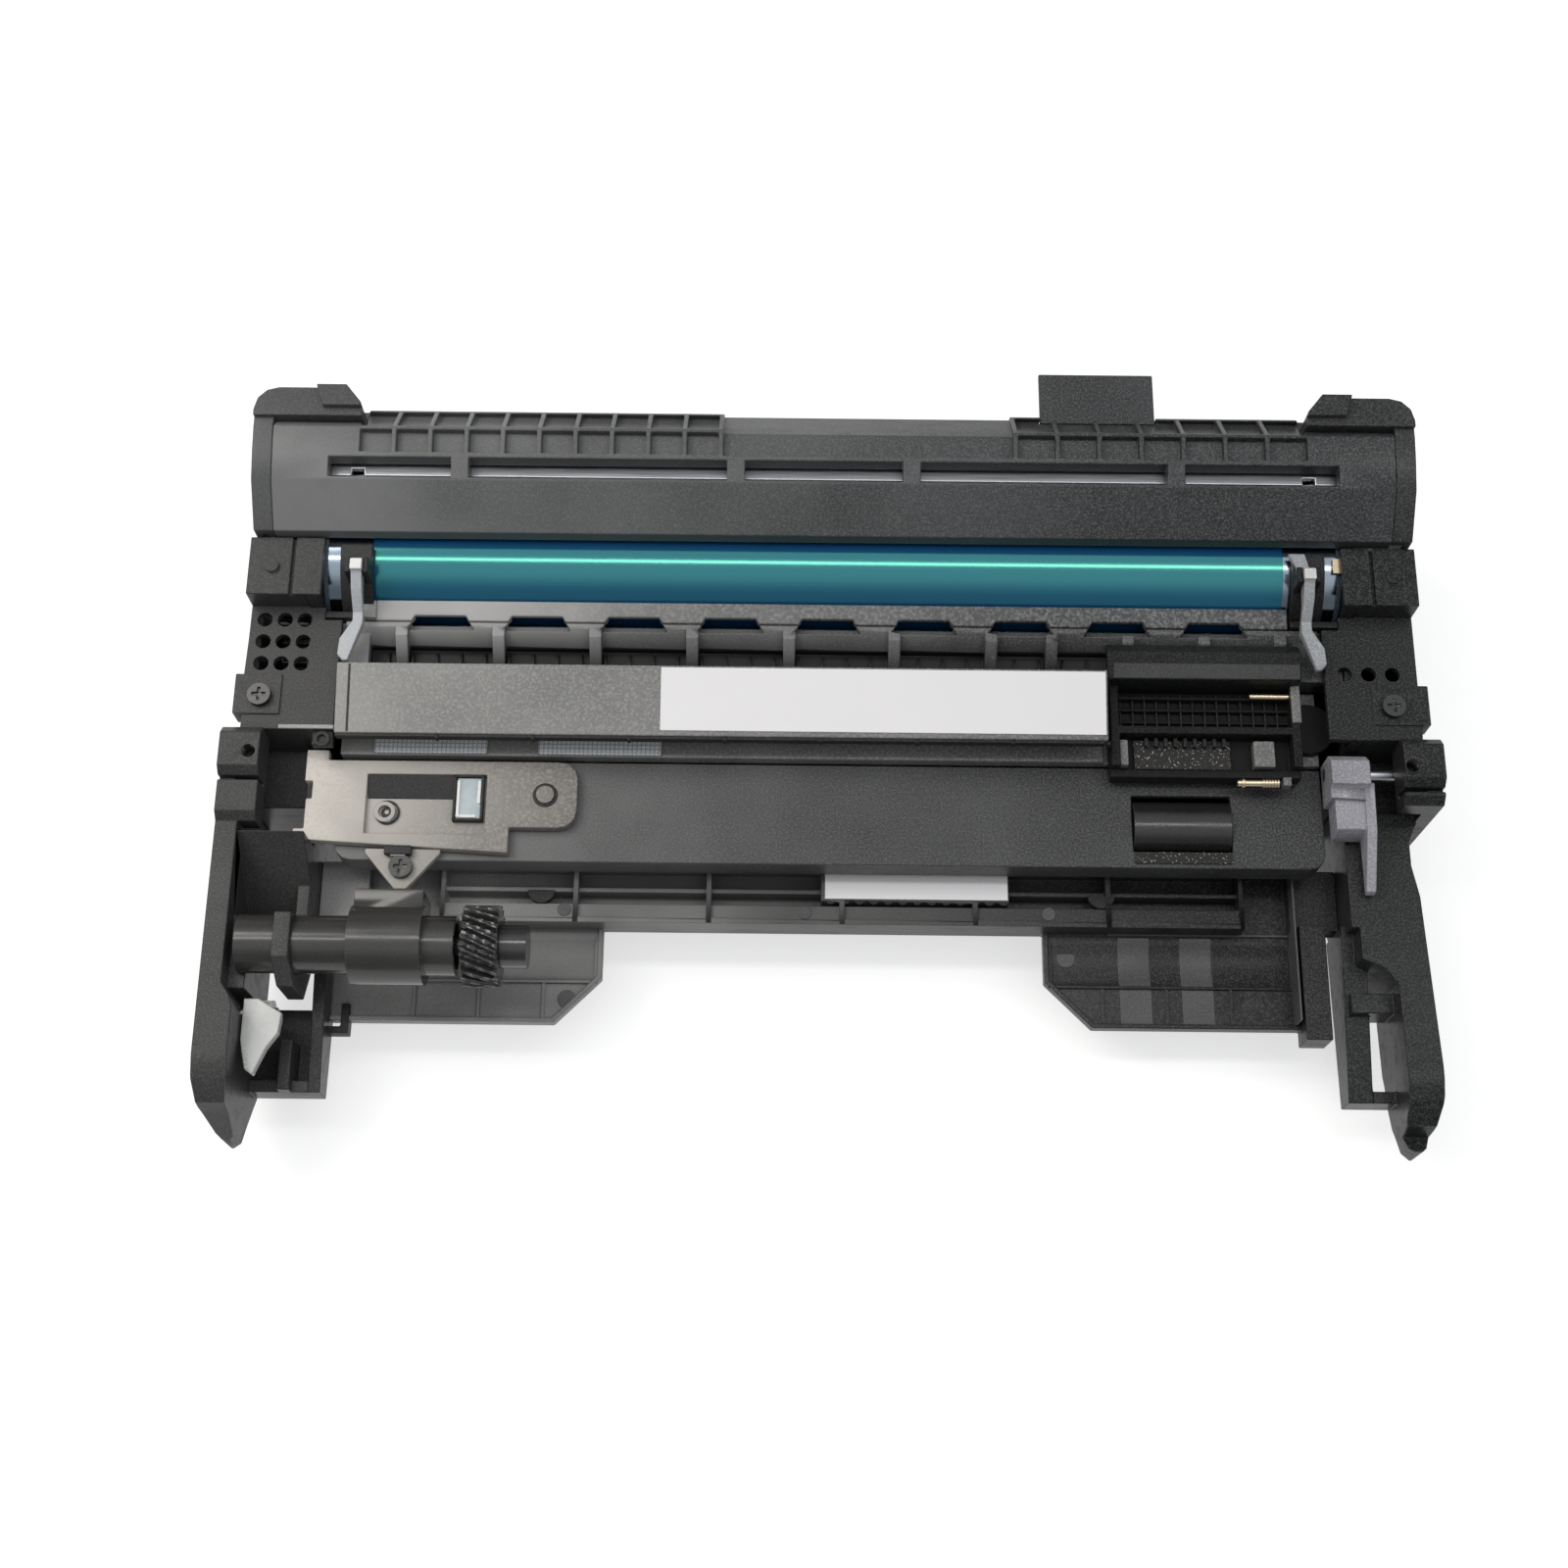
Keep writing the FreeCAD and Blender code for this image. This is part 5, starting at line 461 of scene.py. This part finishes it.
def foam_grid():
    """Grey-blue foam with a fine woven grid."""
    finish, tree, shade = start_finish("foam_grid")
    place = tree.nodes.new("ShaderNodeTexCoord").outputs["Object"]
    split = tree.nodes.new("ShaderNodeSeparateXYZ")
    tree.links.new(place, split.inputs["Vector"])
    waves = []
    for axis in "XY":
        turns = add_math(tree, "MULTIPLY", split.outputs[axis], 2.0 * math.pi / FOAM_MESH)
        waves.append(add_math(tree, "SINE", turns, 0.0))
    lines = add_ramp(tree, add_math(tree, "MAXIMUM", waves[0], waves[1]), 0.55, 0.95)
    grain = place_group(tree, GRAIN, Size=3500.0)
    cloudy = mix_colours(tree, grain.outputs["Speckle"], (0.560, 0.580, 0.600), (0.720, 0.735, 0.750))
    tree.links.new(mix_colours(tree, lines, cloudy, (0.330, 0.350, 0.370)), shade.inputs["Base Color"])
    shade.inputs["Roughness"].default_value = 0.85
    bump = tree.nodes.new("ShaderNodeBump")
    bump.invert = True
    bump.inputs["Distance"].default_value = 0.0001
    tree.links.new(lines, bump.inputs["Height"])
    tree.links.new(bump.outputs["Normal"], shade.inputs["Normal"])
    return finish


def black_foam():
    """Black foam dusted with toner: coarse grain with small bright grains."""
    finish, tree, shade = start_finish("black_foam")
    place = tree.nodes.new("ShaderNodeTexCoord").outputs["Object"]
    grain = add_noise(tree, place, 1500.0, 4.0, 0.7)
    sparks = add_ramp(tree, add_noise(tree, place, 2300.0, 0.0), 0.70, 0.76)
    colour = mix_colours(tree, sparks, (0.012, 0.012, 0.012), (0.30, 0.27, 0.22))
    tree.links.new(colour, shade.inputs["Base Color"])
    shade.inputs["Roughness"].default_value = 0.75
    bump = tree.nodes.new("ShaderNodeBump")
    bump.inputs["Distance"].default_value = 0.0004
    tree.links.new(grain, bump.inputs["Height"])
    tree.links.new(bump.outputs["Normal"], shade.inputs["Normal"])
    return finish


def make_finishes():
    """Finish of each material slot: colour at the right end, at the left end where light is painted, and of
    speckles and the painted highlights on edges.
    """
    return {
        "housing_black": moulded_plastic("housing_black", (0.029, 0.031, 0.033), (0.145, 0.147, 0.147),
                                         (0.17, 0.17, 0.17), 0.40),
        "frame_black": moulded_plastic("frame_black", (0.011, 0.012, 0.012), (0.040, 0.040, 0.039),
                                       (0.11, 0.11, 0.11), 0.36, clouds=0.5, specular=0.14),
        "deck_black": moulded_plastic("deck_black", (0.021, 0.022, 0.023), (0.165, 0.165, 0.163),
                                      (0.17, 0.17, 0.17), 0.40, clouds=0.5),
        "panel_grey": moulded_plastic("panel_grey", (0.120, 0.119, 0.116), (0.235, 0.232, 0.224),
                                      (0.36, 0.36, 0.35), 0.42, grain_size=1800.0),
        "guide_black": moulded_plastic("guide_black", (0.050, 0.052, 0.052), (0.330, 0.330, 0.325),
                                       (0.26, 0.26, 0.26), 0.36, falloff=1.5, deep=(0.0430, 0.0488)),
        "strip_grey": moulded_plastic("strip_grey", (0.050, 0.052, 0.055), (0.420, 0.412, 0.400),
                                      (0.30, 0.30, 0.30), 0.45, grain_size=1400.0, falloff=2.2),
        "lid_grey": moulded_plastic("lid_grey", (0.085, 0.082, 0.077), (0.700, 0.655, 0.600),
                                    (0.36, 0.34, 0.31), 0.30, grain_size=1500.0, grain_depth=0.00005,
                                    falloff=7.0),
        "label_white": moulded_plastic("label_white", (0.66, 0.65, 0.66), (0.66, 0.65, 0.655),
                                       (0.74, 0.74, 0.75), 0.5, grain_size=4000.0, speckle=0.05,
                                       clouds=0.02),
        "window_clear": clear_window(),
        "drum_green": drum_coating(),
        "hub_plastic": moulded_plastic("hub_plastic", (0.030, 0.050, 0.075), (0.060, 0.085, 0.11),
                                       (0.18, 0.20, 0.22), 0.2),
        "gear_black": moulded_plastic("gear_black", (0.012, 0.012, 0.012), (0.020, 0.020, 0.019),
                                      (0.12, 0.12, 0.12), 0.20, grain_depth=0.000005, specular=0.6,
                                      speckle=0.05),
        "tube_gloss": moulded_plastic("tube_gloss", (0.012, 0.012, 0.012), (0.034, 0.032, 0.030),
                                      (0.12, 0.12, 0.12), 0.24, grain_depth=0.000004, specular=0.5,
                                      speckle=0.08),
        "steel": metal("steel", (0.56, 0.57, 0.60), 0.34),
        "blade_rubber": moulded_plastic("blade_rubber", (0.22, 0.12, 0.05), (0.30, 0.18, 0.08),
                                        (0.35, 0.25, 0.12), 0.4),
        "roller_rubber": moulded_plastic("roller_rubber", (0.018, 0.018, 0.019), (0.028, 0.028, 0.030),
                                         (0.05, 0.05, 0.05), 0.6),
        "foam": foam_grid(),
        "brass": metal("brass", (0.72, 0.60, 0.40), 0.30),
        "bearing_plastic": moulded_plastic("bearing_plastic", (0.52, 0.51, 0.46), (0.62, 0.60, 0.55),
                                           (0.70, 0.69, 0.64), 0.35),
        "lever_grey": moulded_plastic("lever_grey", (0.30, 0.315, 0.33), (0.36, 0.375, 0.39),
                                      (0.52, 0.53, 0.55), 0.35, grain_depth=0.000008),
        "latch_opal": opal_plastic(),
        "latch_grey": moulded_plastic("latch_grey", (0.30, 0.30, 0.33), (0.40, 0.40, 0.43),
                                      (0.52, 0.52, 0.55), 0.3, grain_depth=0.000006),
        "screw_black": metal("screw_black", (0.06, 0.06, 0.06), 0.26, metallic=0.8),
    }


FINISHES = make_finishes()

# Finishes of single pieces, where a piece differs from its slot's finish
PORT_BLACK = moulded_plastic("port_black", (0.009, 0.010, 0.010), (0.030, 0.030, 0.030),
                             (0.07, 0.07, 0.07), 0.34, specular=0.06, deep=(0.0420, 0.0495))
PORT_GREY = moulded_plastic("port_grey", (0.024, 0.024, 0.025), (0.030, 0.030, 0.030),
                            (0.08, 0.08, 0.08), 0.36)
SHADE_BLACK = moulded_plastic("shade_black", (0.011, 0.011, 0.011), (0.024, 0.024, 0.024),
                              (0.06, 0.06, 0.06), 0.45, specular=0.15)
WING_BLACK = moulded_plastic("wing_black", (0.009, 0.009, 0.009), (0.400, 0.398, 0.390),
                             (0.11, 0.11, 0.11), 0.36, falloff=2.4, specular=0.12, deep=(0.004, 0.020))
PAD_GREY = moulded_plastic("pad_grey", (0.060, 0.060, 0.060), (0.080, 0.080, 0.080),
                           (0.13, 0.13, 0.13), 0.42, speckle=0.4)
# Pale grey of pads and end blocks, also used for a painted highlight on the gear cover's edge
PALE_GREY_AND_HIGHLIGHT = moulded_plastic("pale_grey_and_highlight", (0.120, 0.120, 0.118), (0.260, 0.258, 0.250),
                           (0.40, 0.40, 0.39), 0.35)
# White of the lever pads, also used for painted highlights on the window
WHITE_AND_HIGHLIGHT = moulded_plastic("white_and_painted_highlight", (0.62, 0.62, 0.60), (0.66, 0.66, 0.64),
                              (0.78, 0.78, 0.76), 0.45)
SPRING_STEEL = metal("spring_steel", (0.70, 0.58, 0.42), 0.26)
BARE_ALUMINIUM = metal("bare_aluminium", (0.30, 0.36, 0.42), 0.14)
CAP_BLACK = moulded_plastic("cap_black", (0.024, 0.025, 0.026), (0.070, 0.071, 0.072),
                            (0.13, 0.13, 0.13), 0.38)
BLACK_FOAM = black_foam()
OWN_FINISH = {
    "left_end_cap": CAP_BLACK,
    "right_end_cap": CAP_BLACK,
    "port_frame": PORT_BLACK,
    "port_seals": BLACK_FOAM,
    "lower_guide": WING_BLACK,
    "port_pins": SPRING_STEEL,
    "left_drum_clip": SHADE_BLACK,
    "right_drum_clip": SHADE_BLACK,
}


# Pieces

SHARP_EDGE = 38.0


def add_piece(name, mesh, node, finish=None, stands_for=True):
    """Object for a finished mesh that rides and is finished as its node is."""
    piece = bpy.data.objects.new(name, mesh)
    bpy.context.scene.collection.objects.link(piece)
    mesh.materials.clear()
    mesh.materials.append(finish or OWN_FINISH.get(node) or FINISHES[SLOT_OF[node]])
    mesh.shade_smooth()
    mesh.set_sharp_from_angle(angle=math.radians(SHARP_EDGE))
    even = piece.modifiers.new("even_shading", "WEIGHTED_NORMAL")
    even.keep_sharp = True
    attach(piece, BODY_OF[node])
    if stands_for:
        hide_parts(node)


MOULDED_EDGE = 0.3 * MM
MOULDED_ANGLE = 30.0


def soften(bm, width, segments):
    """Bevels the sharp edges of a closed shell, apart from those that meet an edge too short for it."""
    bmesh.ops.remove_doubles(bm, verts=bm.verts, dist=2e-6)
    bmesh.ops.dissolve_limit(bm, angle_limit=math.radians(0.6), verts=bm.verts, edges=bm.edges)
    limit = math.radians(MOULDED_ANGLE)
    sharp = {e for e in bm.edges if len(e.link_faces) == 2 and e.calc_face_angle(0.0) > limit}
    crowded = {v for e in bm.edges if e.calc_length() < 2.4 * width for v in e.verts}
    chosen = [e for e in sharp if not (set(e.verts) & crowded)]
    if chosen:
        bmesh.ops.bevel(bm, geom=chosen, offset=width, affect="EDGES", segments=segments, profile=0.5,
                        material=-1, clamp_overlap=False)


def soften_node(node):
    """Copy of a node with its moulded edges rounded."""
    mesh = NODES[node].data.copy()
    bm = bmesh.new()
    bm.from_mesh(mesh)
    soften(bm, MOULDED_EDGE, 2)
    bm.to_mesh(mesh)
    bm.free()
    mesh.name = node + "_dressed"
    add_piece(node + "_dressed", mesh, node)


def finish_node(node):
    """Node kept as it is, with its finish in its slots."""
    data = NODES[node].data
    data.materials.clear()
    data.materials.append(FINISHES[SLOT_OF[node]])


# Small pieces that are too fine for the frame: lengths in millimetres

def block(bm, x, y, z):
    """Box between two places along each axis."""
    middle = Vector([(low + high) / 2 for low, high in (x, y, z)])
    spread = Matrix.Diagonal([high - low for low, high in (x, y, z)] + [1.0])
    bmesh.ops.create_cube(bm, size=1.0, matrix=Matrix.Translation(middle) @ spread)


def ring(bm, centre, along, inner, outer, low, high, steps=40):
    """Ring about an axis through a centre, spun from its section."""
    axis = Vector([float(letter == along) for letter in "XYZ"])
    across = Vector((0.0, 0.0, 1.0)) if along != "Z" else Vector((1.0, 0.0, 0.0))
    middle = Vector(centre)
    corners = [bm.verts.new(middle + across * reach + axis * place)
               for reach, place in ((inner, low), (outer, low), (outer, high), (inner, high))]
    sides = [bm.edges.new((corners[i], corners[(i + 1) % 4])) for i in range(4)]
    bmesh.ops.spin(bm, geom=corners + sides, cent=middle, axis=axis, angle=2 * math.pi, steps=steps,
                   use_merge=True)


def disc(bm, x, y, z, radius):
    """Upright round stud between two heights."""
    place = Matrix.Translation((x, y, (z[0] + z[1]) / 2))
    bmesh.ops.create_cone(bm, cap_ends=True, segments=28, radius1=radius, radius2=radius,
                          depth=z[1] - z[0], matrix=place)


def plate(bm, outline, z):
    """Flat plate with an outline in (X, Y) between two heights."""
    corners = [bm.verts.new((x, y, z[0])) for x, y in outline]
    face = bm.faces.new(corners)
    lifted = bmesh.ops.extrude_face_region(bm, geom=[face])
    moved = [v for v in lifted["geom"] if isinstance(v, bmesh.types.BMVert)]
    bmesh.ops.translate(bm, verts=moved, vec=(0.0, 0.0, z[1] - z[0]))


def ribbon(bm, outline, x, thickness):
    """Sheet that follows an outline in (Y, Z) between two places along X."""
    line = [bm.verts.new((x[0], y, z)) for y, z in outline]
    edges = [bm.edges.new(pair) for pair in zip(line, line[1:])]
    swept = bmesh.ops.extrude_edge_only(bm, edges=edges)
    moved = [v for v in swept["geom"] if isinstance(v, bmesh.types.BMVert)]
    bmesh.ops.translate(bm, verts=moved, vec=(x[1] - x[0], 0.0, 0.0))
    sheet = [f for f in swept["geom"] if isinstance(f, bmesh.types.BMFace)]
    bmesh.ops.recalc_face_normals(bm, faces=sheet)
    bmesh.ops.solidify(bm, geom=sheet, thickness=thickness)


def small_piece(name, node, finish, shape, edge=0.15):
    """Piece of its own on a node's body: shape fills its bmesh, then its edges are rounded."""
    bm = bmesh.new()
    shape(bm)
    bmesh.ops.remove_doubles(bm, verts=bm.verts, dist=0.001)
    bmesh.ops.recalc_face_normals(bm, faces=bm.faces)
    if edge:
        limit = math.radians(40)
        sharp = [e for e in bm.edges if len(e.link_faces) == 2 and e.calc_face_angle(0.0) > limit]
        bmesh.ops.bevel(bm, geom=sharp, offset=edge, affect="EDGES", segments=2, profile=0.5,
                        material=-1, clamp_overlap=True)
    bmesh.ops.scale(bm, vec=(MM, MM, MM), verts=bm.verts)
    mesh = bpy.data.meshes.new(name)
    bm.to_mesh(mesh)
    bm.free()
    add_piece(name, mesh, node, finish, stands_for=False)


DRUM_CENTRE = (0.0, 48.8, 40.0)
DRUM_RADIUS = 15.0
DRUM_END = 126.0


def dress_drum():
    """Bare aluminium at both ends of the tube, outside the coating."""
    def sleeves(bm):
        for low, high in ((-DRUM_END, -114.8), (112.6, DRUM_END)):
            ring(bm, DRUM_CENTRE, "X", DRUM_RADIUS - 0.05, DRUM_RADIUS + 0.03, low, high, steps=96)
    small_piece("drum_bare_ends", "drum_tube", BARE_ALUMINIUM, sleeves, edge=0)


LEVER_X = 117.5
LEVER_PIN_Y = 41.0


def dress_clips():
    """White pads on the lever hubs and the grey corner piece at the right clip."""
    for label, side in (("left", -1), ("right", 1)):
        x = sorted((side * (LEVER_X - 1.5), side * (LEVER_X + 1.5)))
        y = (LEVER_PIN_Y - 1.6, LEVER_PIN_Y + 1.3)
        small_piece(label + "_lever_pad", label + "_lift_lever", WHITE_AND_HIGHLIGHT,
                    lambda bm, x=x, y=y: block(bm, x, y, (60.4, 62.0)), edge=0.3)
    corner = ((113.4, 48.0), (117.4, 48.0), (118.8, 42.0), (116.2, 42.0))
    small_piece("clip_corner", "right_drum_clip", FINISHES["lever_grey"],
                lambda bm: plate(bm, corner, (56.4, 57.9)))
    small_piece("strip_end_block", "guide_strip", PALE_GREY_AND_HIGHLIGHT,
                lambda bm: block(bm, (-117.4, -113.8), (31.4, 36.2), (48.2, 50.6)), edge=0.4)


WING_Z = 20.0
GROOVE_Y = -47.5
GROOVE_RADIUS = 14.0
GROOVE_DEPTH = 1.3


def wing_height(y):
    """Height of the wing's top, which dips into a round groove."""
    reach = GROOVE_RADIUS ** 2 - (y - GROOVE_Y) ** 2
    floor = WING_Z + GROOVE_RADIUS - GROOVE_DEPTH - math.sqrt(max(reach, 0.0))
    return min(WING_Z, floor)


def dress_wings():
    """Grip pads, ejector marks, edge lines, hook and half-round tabs of the lower guide."""
    steps = 26
    front, back = -63.4, -40.7
    places = [front + (back - front) * i / steps for i in range(steps + 1)]
    line = [(y, wing_height(y) + 0.12) for y in places]

    def pads(bm):
        for low in (72.6, 88.1):
            ribbon(bm, line, (low, low + 7.9), 0.2)
    small_piece("wing_grip_pads", "lower_guide", PAD_GREY, pads, edge=0)

    def marks(bm):
        for x, y in ((59.6, -46.0), (-65.0, -58.0)):
            disc(bm, x, y, (wing_height(y) - 0.3, wing_height(y) + 0.18), 2.3)
        for x, y in ((54.8, -36.6), (-66.0, -36.6), (-6.0, -36.8)):
            disc(bm, x, y, (25.8, 26.25), 1.7)
    small_piece("ejector_marks", "lower_guide", PAD_GREY, marks, edge=0.08)

    def lines(bm):
        block(bm, (115.5, 116.0), (-63.2, -24.5), (WING_Z - 0.3, 27.4))
        block(bm, (70.0, 115.4), (-40.4, -39.9), (WING_Z - 0.2, WING_Z + 0.9))
    small_piece("wing_edge_lines", "lower_guide", PAD_GREY, lines, edge=0.1)

    hook = ((-118.4, -60.0), (-120.4, -60.0), (-120.4, -65.8), (-124.6, -65.8), (-124.6, -63.2),
            (-126.0, -63.2), (-126.0, -67.6), (-118.4, -67.6))
    small_piece("wing_hook", "lower_guide", SHADE_BLACK, lambda bm: plate(bm, hook, (17.2, 21.6)), edge=0.3)

    def tabs(bm):
        turns = [math.pi * i / 12 for i in range(13)]
        for x in (-71.8, 68.0):
            outline = [(x + 3.4 * math.cos(turn), -31.7 - 3.4 * math.sin(turn)) for turn in turns]
            plate(bm, outline, (24.9, 26.6))
    small_piece("half_round_tabs", "lower_guide", SHADE_BLACK, tabs, edge=0.15)

    def scallops(bm):
        for i in range(13):
            disc(bm, 0.4 + i * 3.6, -33.4, (25.8, 26.9), 1.35)
    small_piece("label_scallops", "lower_guide", SHADE_BLACK, scallops, edge=0.12)


def dress_port():
    """Fine pieces of the toner port: band on its bar, side strip, pads, comb, spring on the pin."""
    slope = 1.6 / 6.8
    band = [(y, 51.4 + (y - 16.6) * slope + 0.12) for y in (16.8, 18.6, 20.4)]
    small_piece("port_bar_band", "port_frame", PORT_GREY,
                lambda bm: ribbon(bm, band, (69.6, 115.6), 0.2), edge=0)

    def pads(bm):
        block(bm, (113.9, 116.2), (7.0, 19.4), (45.0, 47.7))
        block(bm, (71.0, 73.3), (-3.8, 2.8), (41.9, 45.6))
        block(bm, (104.4, 109.6), (-3.8, 3.0), (41.9, 45.0))
        block(bm, (111.0, 113.0), (-9.0, -6.8), (42.5, 46.0))
    small_piece("port_pads", "port_frame", PALE_GREY_AND_HIGHLIGHT, pads, edge=0.3)

    def comb(bm):
        for i in range(9):
            x = 77.6 + i * 2.4
            block(bm, (x, x + 0.9), (1.4, 3.6), (42.6, 44.8))
        for i in range(14):
            x = 72.0 + i * 3.0
            block(bm, (x, x + 0.35), (6.4, 15.6), (42.3, 43.2 + 0.14 * (i % 3)))
    small_piece("port_comb", "port_frame", SHADE_BLACK, comb, edge=0.1)

    def coil(bm):
        for i in range(6):
            ring(bm, (106.4 + i * 0.72, -7.8, 44.0), "X", 0.75, 1.25, -0.22, 0.22, steps=20)
        ring(bm, (101.4, -7.8, 44.0), "X", 0.75, 1.3, -0.35, 0.35, steps=20)
    small_piece("port_spring", "port_pins", SPRING_STEEL, coil, edge=0)


LID_TOP = 41.0
POCKET_FLOOR = 39.4
BOSS = (-109.3, -16.3)
STUD = (-70.4, -11.8)


def dress_lid():
    """Slope and trim in the sensor cover's pocket, window frame, painted highlights on the window, clip and
    rings.
    """
    slope = [(-6.7, LID_TOP - 0.15), (-12.6, POCKET_FLOOR + 0.15)]
    small_piece("pocket_slope", "sensor_cover", SHADE_BLACK,
                lambda bm: ribbon(bm, slope, (-114.3, -93.2), 0.25), edge=0)

    def frame_bars(bm):
        for x in ((-93.1, -92.5), (-86.2, -85.6)):
            block(bm, x, (-18.5, -6.7), (39.2, LID_TOP + 0.1))
        block(bm, (-93.1, -85.6), (-18.6, -18.0), (39.2, LID_TOP + 0.1))
        block(bm, (-93.1, -85.6), (-7.2, -6.6), (39.2, LID_TOP + 0.1))
    small_piece("window_frame", "sensor_cover", SHADE_BLACK, frame_bars, edge=0.12)

    # White bars on the window's edges: painted highlights, the light reflected by the pane's edges
    def painted_highlights(bm):
        block(bm, (-92.3, -91.5), (-17.6, -8.0), (40.1, 40.7))
        block(bm, (-91.5, -87.4), (-17.7, -16.9), (40.1, 40.7))
        block(bm, (-87.2, -86.4), (-14.0, -8.0), (40.1, 40.7))
    small_piece("window_painted_highlights", "sensor_window", WHITE_AND_HIGHLIGHT, painted_highlights, edge=0.1)

    def rings(bm):
        ring(bm, (*STUD, LID_TOP), "Z", 2.1, 3.1, -0.3, 0.22)
        ring(bm, (*BOSS, POCKET_FLOOR), "Z", 2.6, 3.1, -0.1, 0.7)
        disc(bm, *BOSS, (POCKET_FLOOR, POCKET_FLOOR + 0.35), 1.5)
    small_piece("lid_rings", "sensor_cover", SHADE_BLACK, rings, edge=0.08)
    small_piece("boss_point", "sensor_cover", FINISHES["lid_grey"],
                lambda bm: disc(bm, *BOSS, (POCKET_FLOOR, POCKET_FLOOR + 0.7), 0.6), edge=0.1)

    clip = (-109.0, -102.2), (-27.9, -25.4), (LID_TOP - 0.6, LID_TOP + 1.3)
    small_piece("tab_clip", "sensor_cover", SHADE_BLACK, lambda bm: block(bm, *clip), edge=0.5)
    clip_slot = (-107.4, -103.8), (-28.15, -27.0), (LID_TOP - 0.3, LID_TOP + 0.9)
    small_piece("tab_clip_slot", "sensor_cover", FINISHES["lid_grey"],
                lambda bm: block(bm, *clip_slot), edge=0.2)


def dress_panel():
    """Dark lip with tick marks under the panel, eye bracket and a painted highlight on the cover's edge
    beside it.
    """
    def lip(bm):
        block(bm, (-121.6, 66.8), (-0.15, 0.75), (47.9, 50.2))
        for i in range(8):
            x = -97.0 + i * 23.5
            block(bm, (x, x + 0.8), (-0.6, 0.4), (48.2, 50.55))
    small_piece("panel_lip", "developer_cover", SHADE_BLACK, lip, edge=0.15)

    small_piece("panel_end_step", "developer_cover", SHADE_BLACK,
                lambda bm: ribbon(bm, [(0.9, 50.72), (17.6, 53.58)], (-118.9, -118.4), 0.1), edge=0)

    def eye(bm):
        block(bm, (-127.4, -122.4), (-2.0, 1.8), (46.2, 48.6))
        ring(bm, (-124.9, -0.6, 48.6), "Z", 1.0, 2.1, -0.4, 0.9)
    small_piece("eye_bracket", "left_gear_cover", SHADE_BLACK, eye, edge=0.2)
    # Paler strip on the gear cover's edge: painted highlight
    small_piece("cover_edge_painted_highlight", "left_gear_cover", PALE_GREY_AND_HIGHLIGHT,
                lambda bm: block(bm, (-135.6, -122.0), (1.65, 2.7), (49.4, 50.35)), edge=0.15)


# Nodes that stay as they are: round, toothed or hidden pieces
KEPT = (
    "drum_tube", "drum_gear", "drum_flange", "drum_hub", "drum_axle", "drum_bushes",
    "waste_screw", "waste_gear", "idler_gear", "idler_pin", "charge_roller", "wiper_roller",
    "charge_bearings", "charge_springs", "developer_roller", "roller_gear", "back_mixer",
    "back_mixer_gear", "front_mixer", "front_mixer_gear", "supply_screw", "supply_gear",
)

bpy.context.scene.view_settings.view_transform = "Standard"
make_camera()
make_studio()
for node in NODES:
    if node in KEPT:
        finish_node(node)
    else:
        soften_node(node)
dress_drum()
dress_clips()
dress_wings()
dress_port()
dress_lid()
dress_panel()
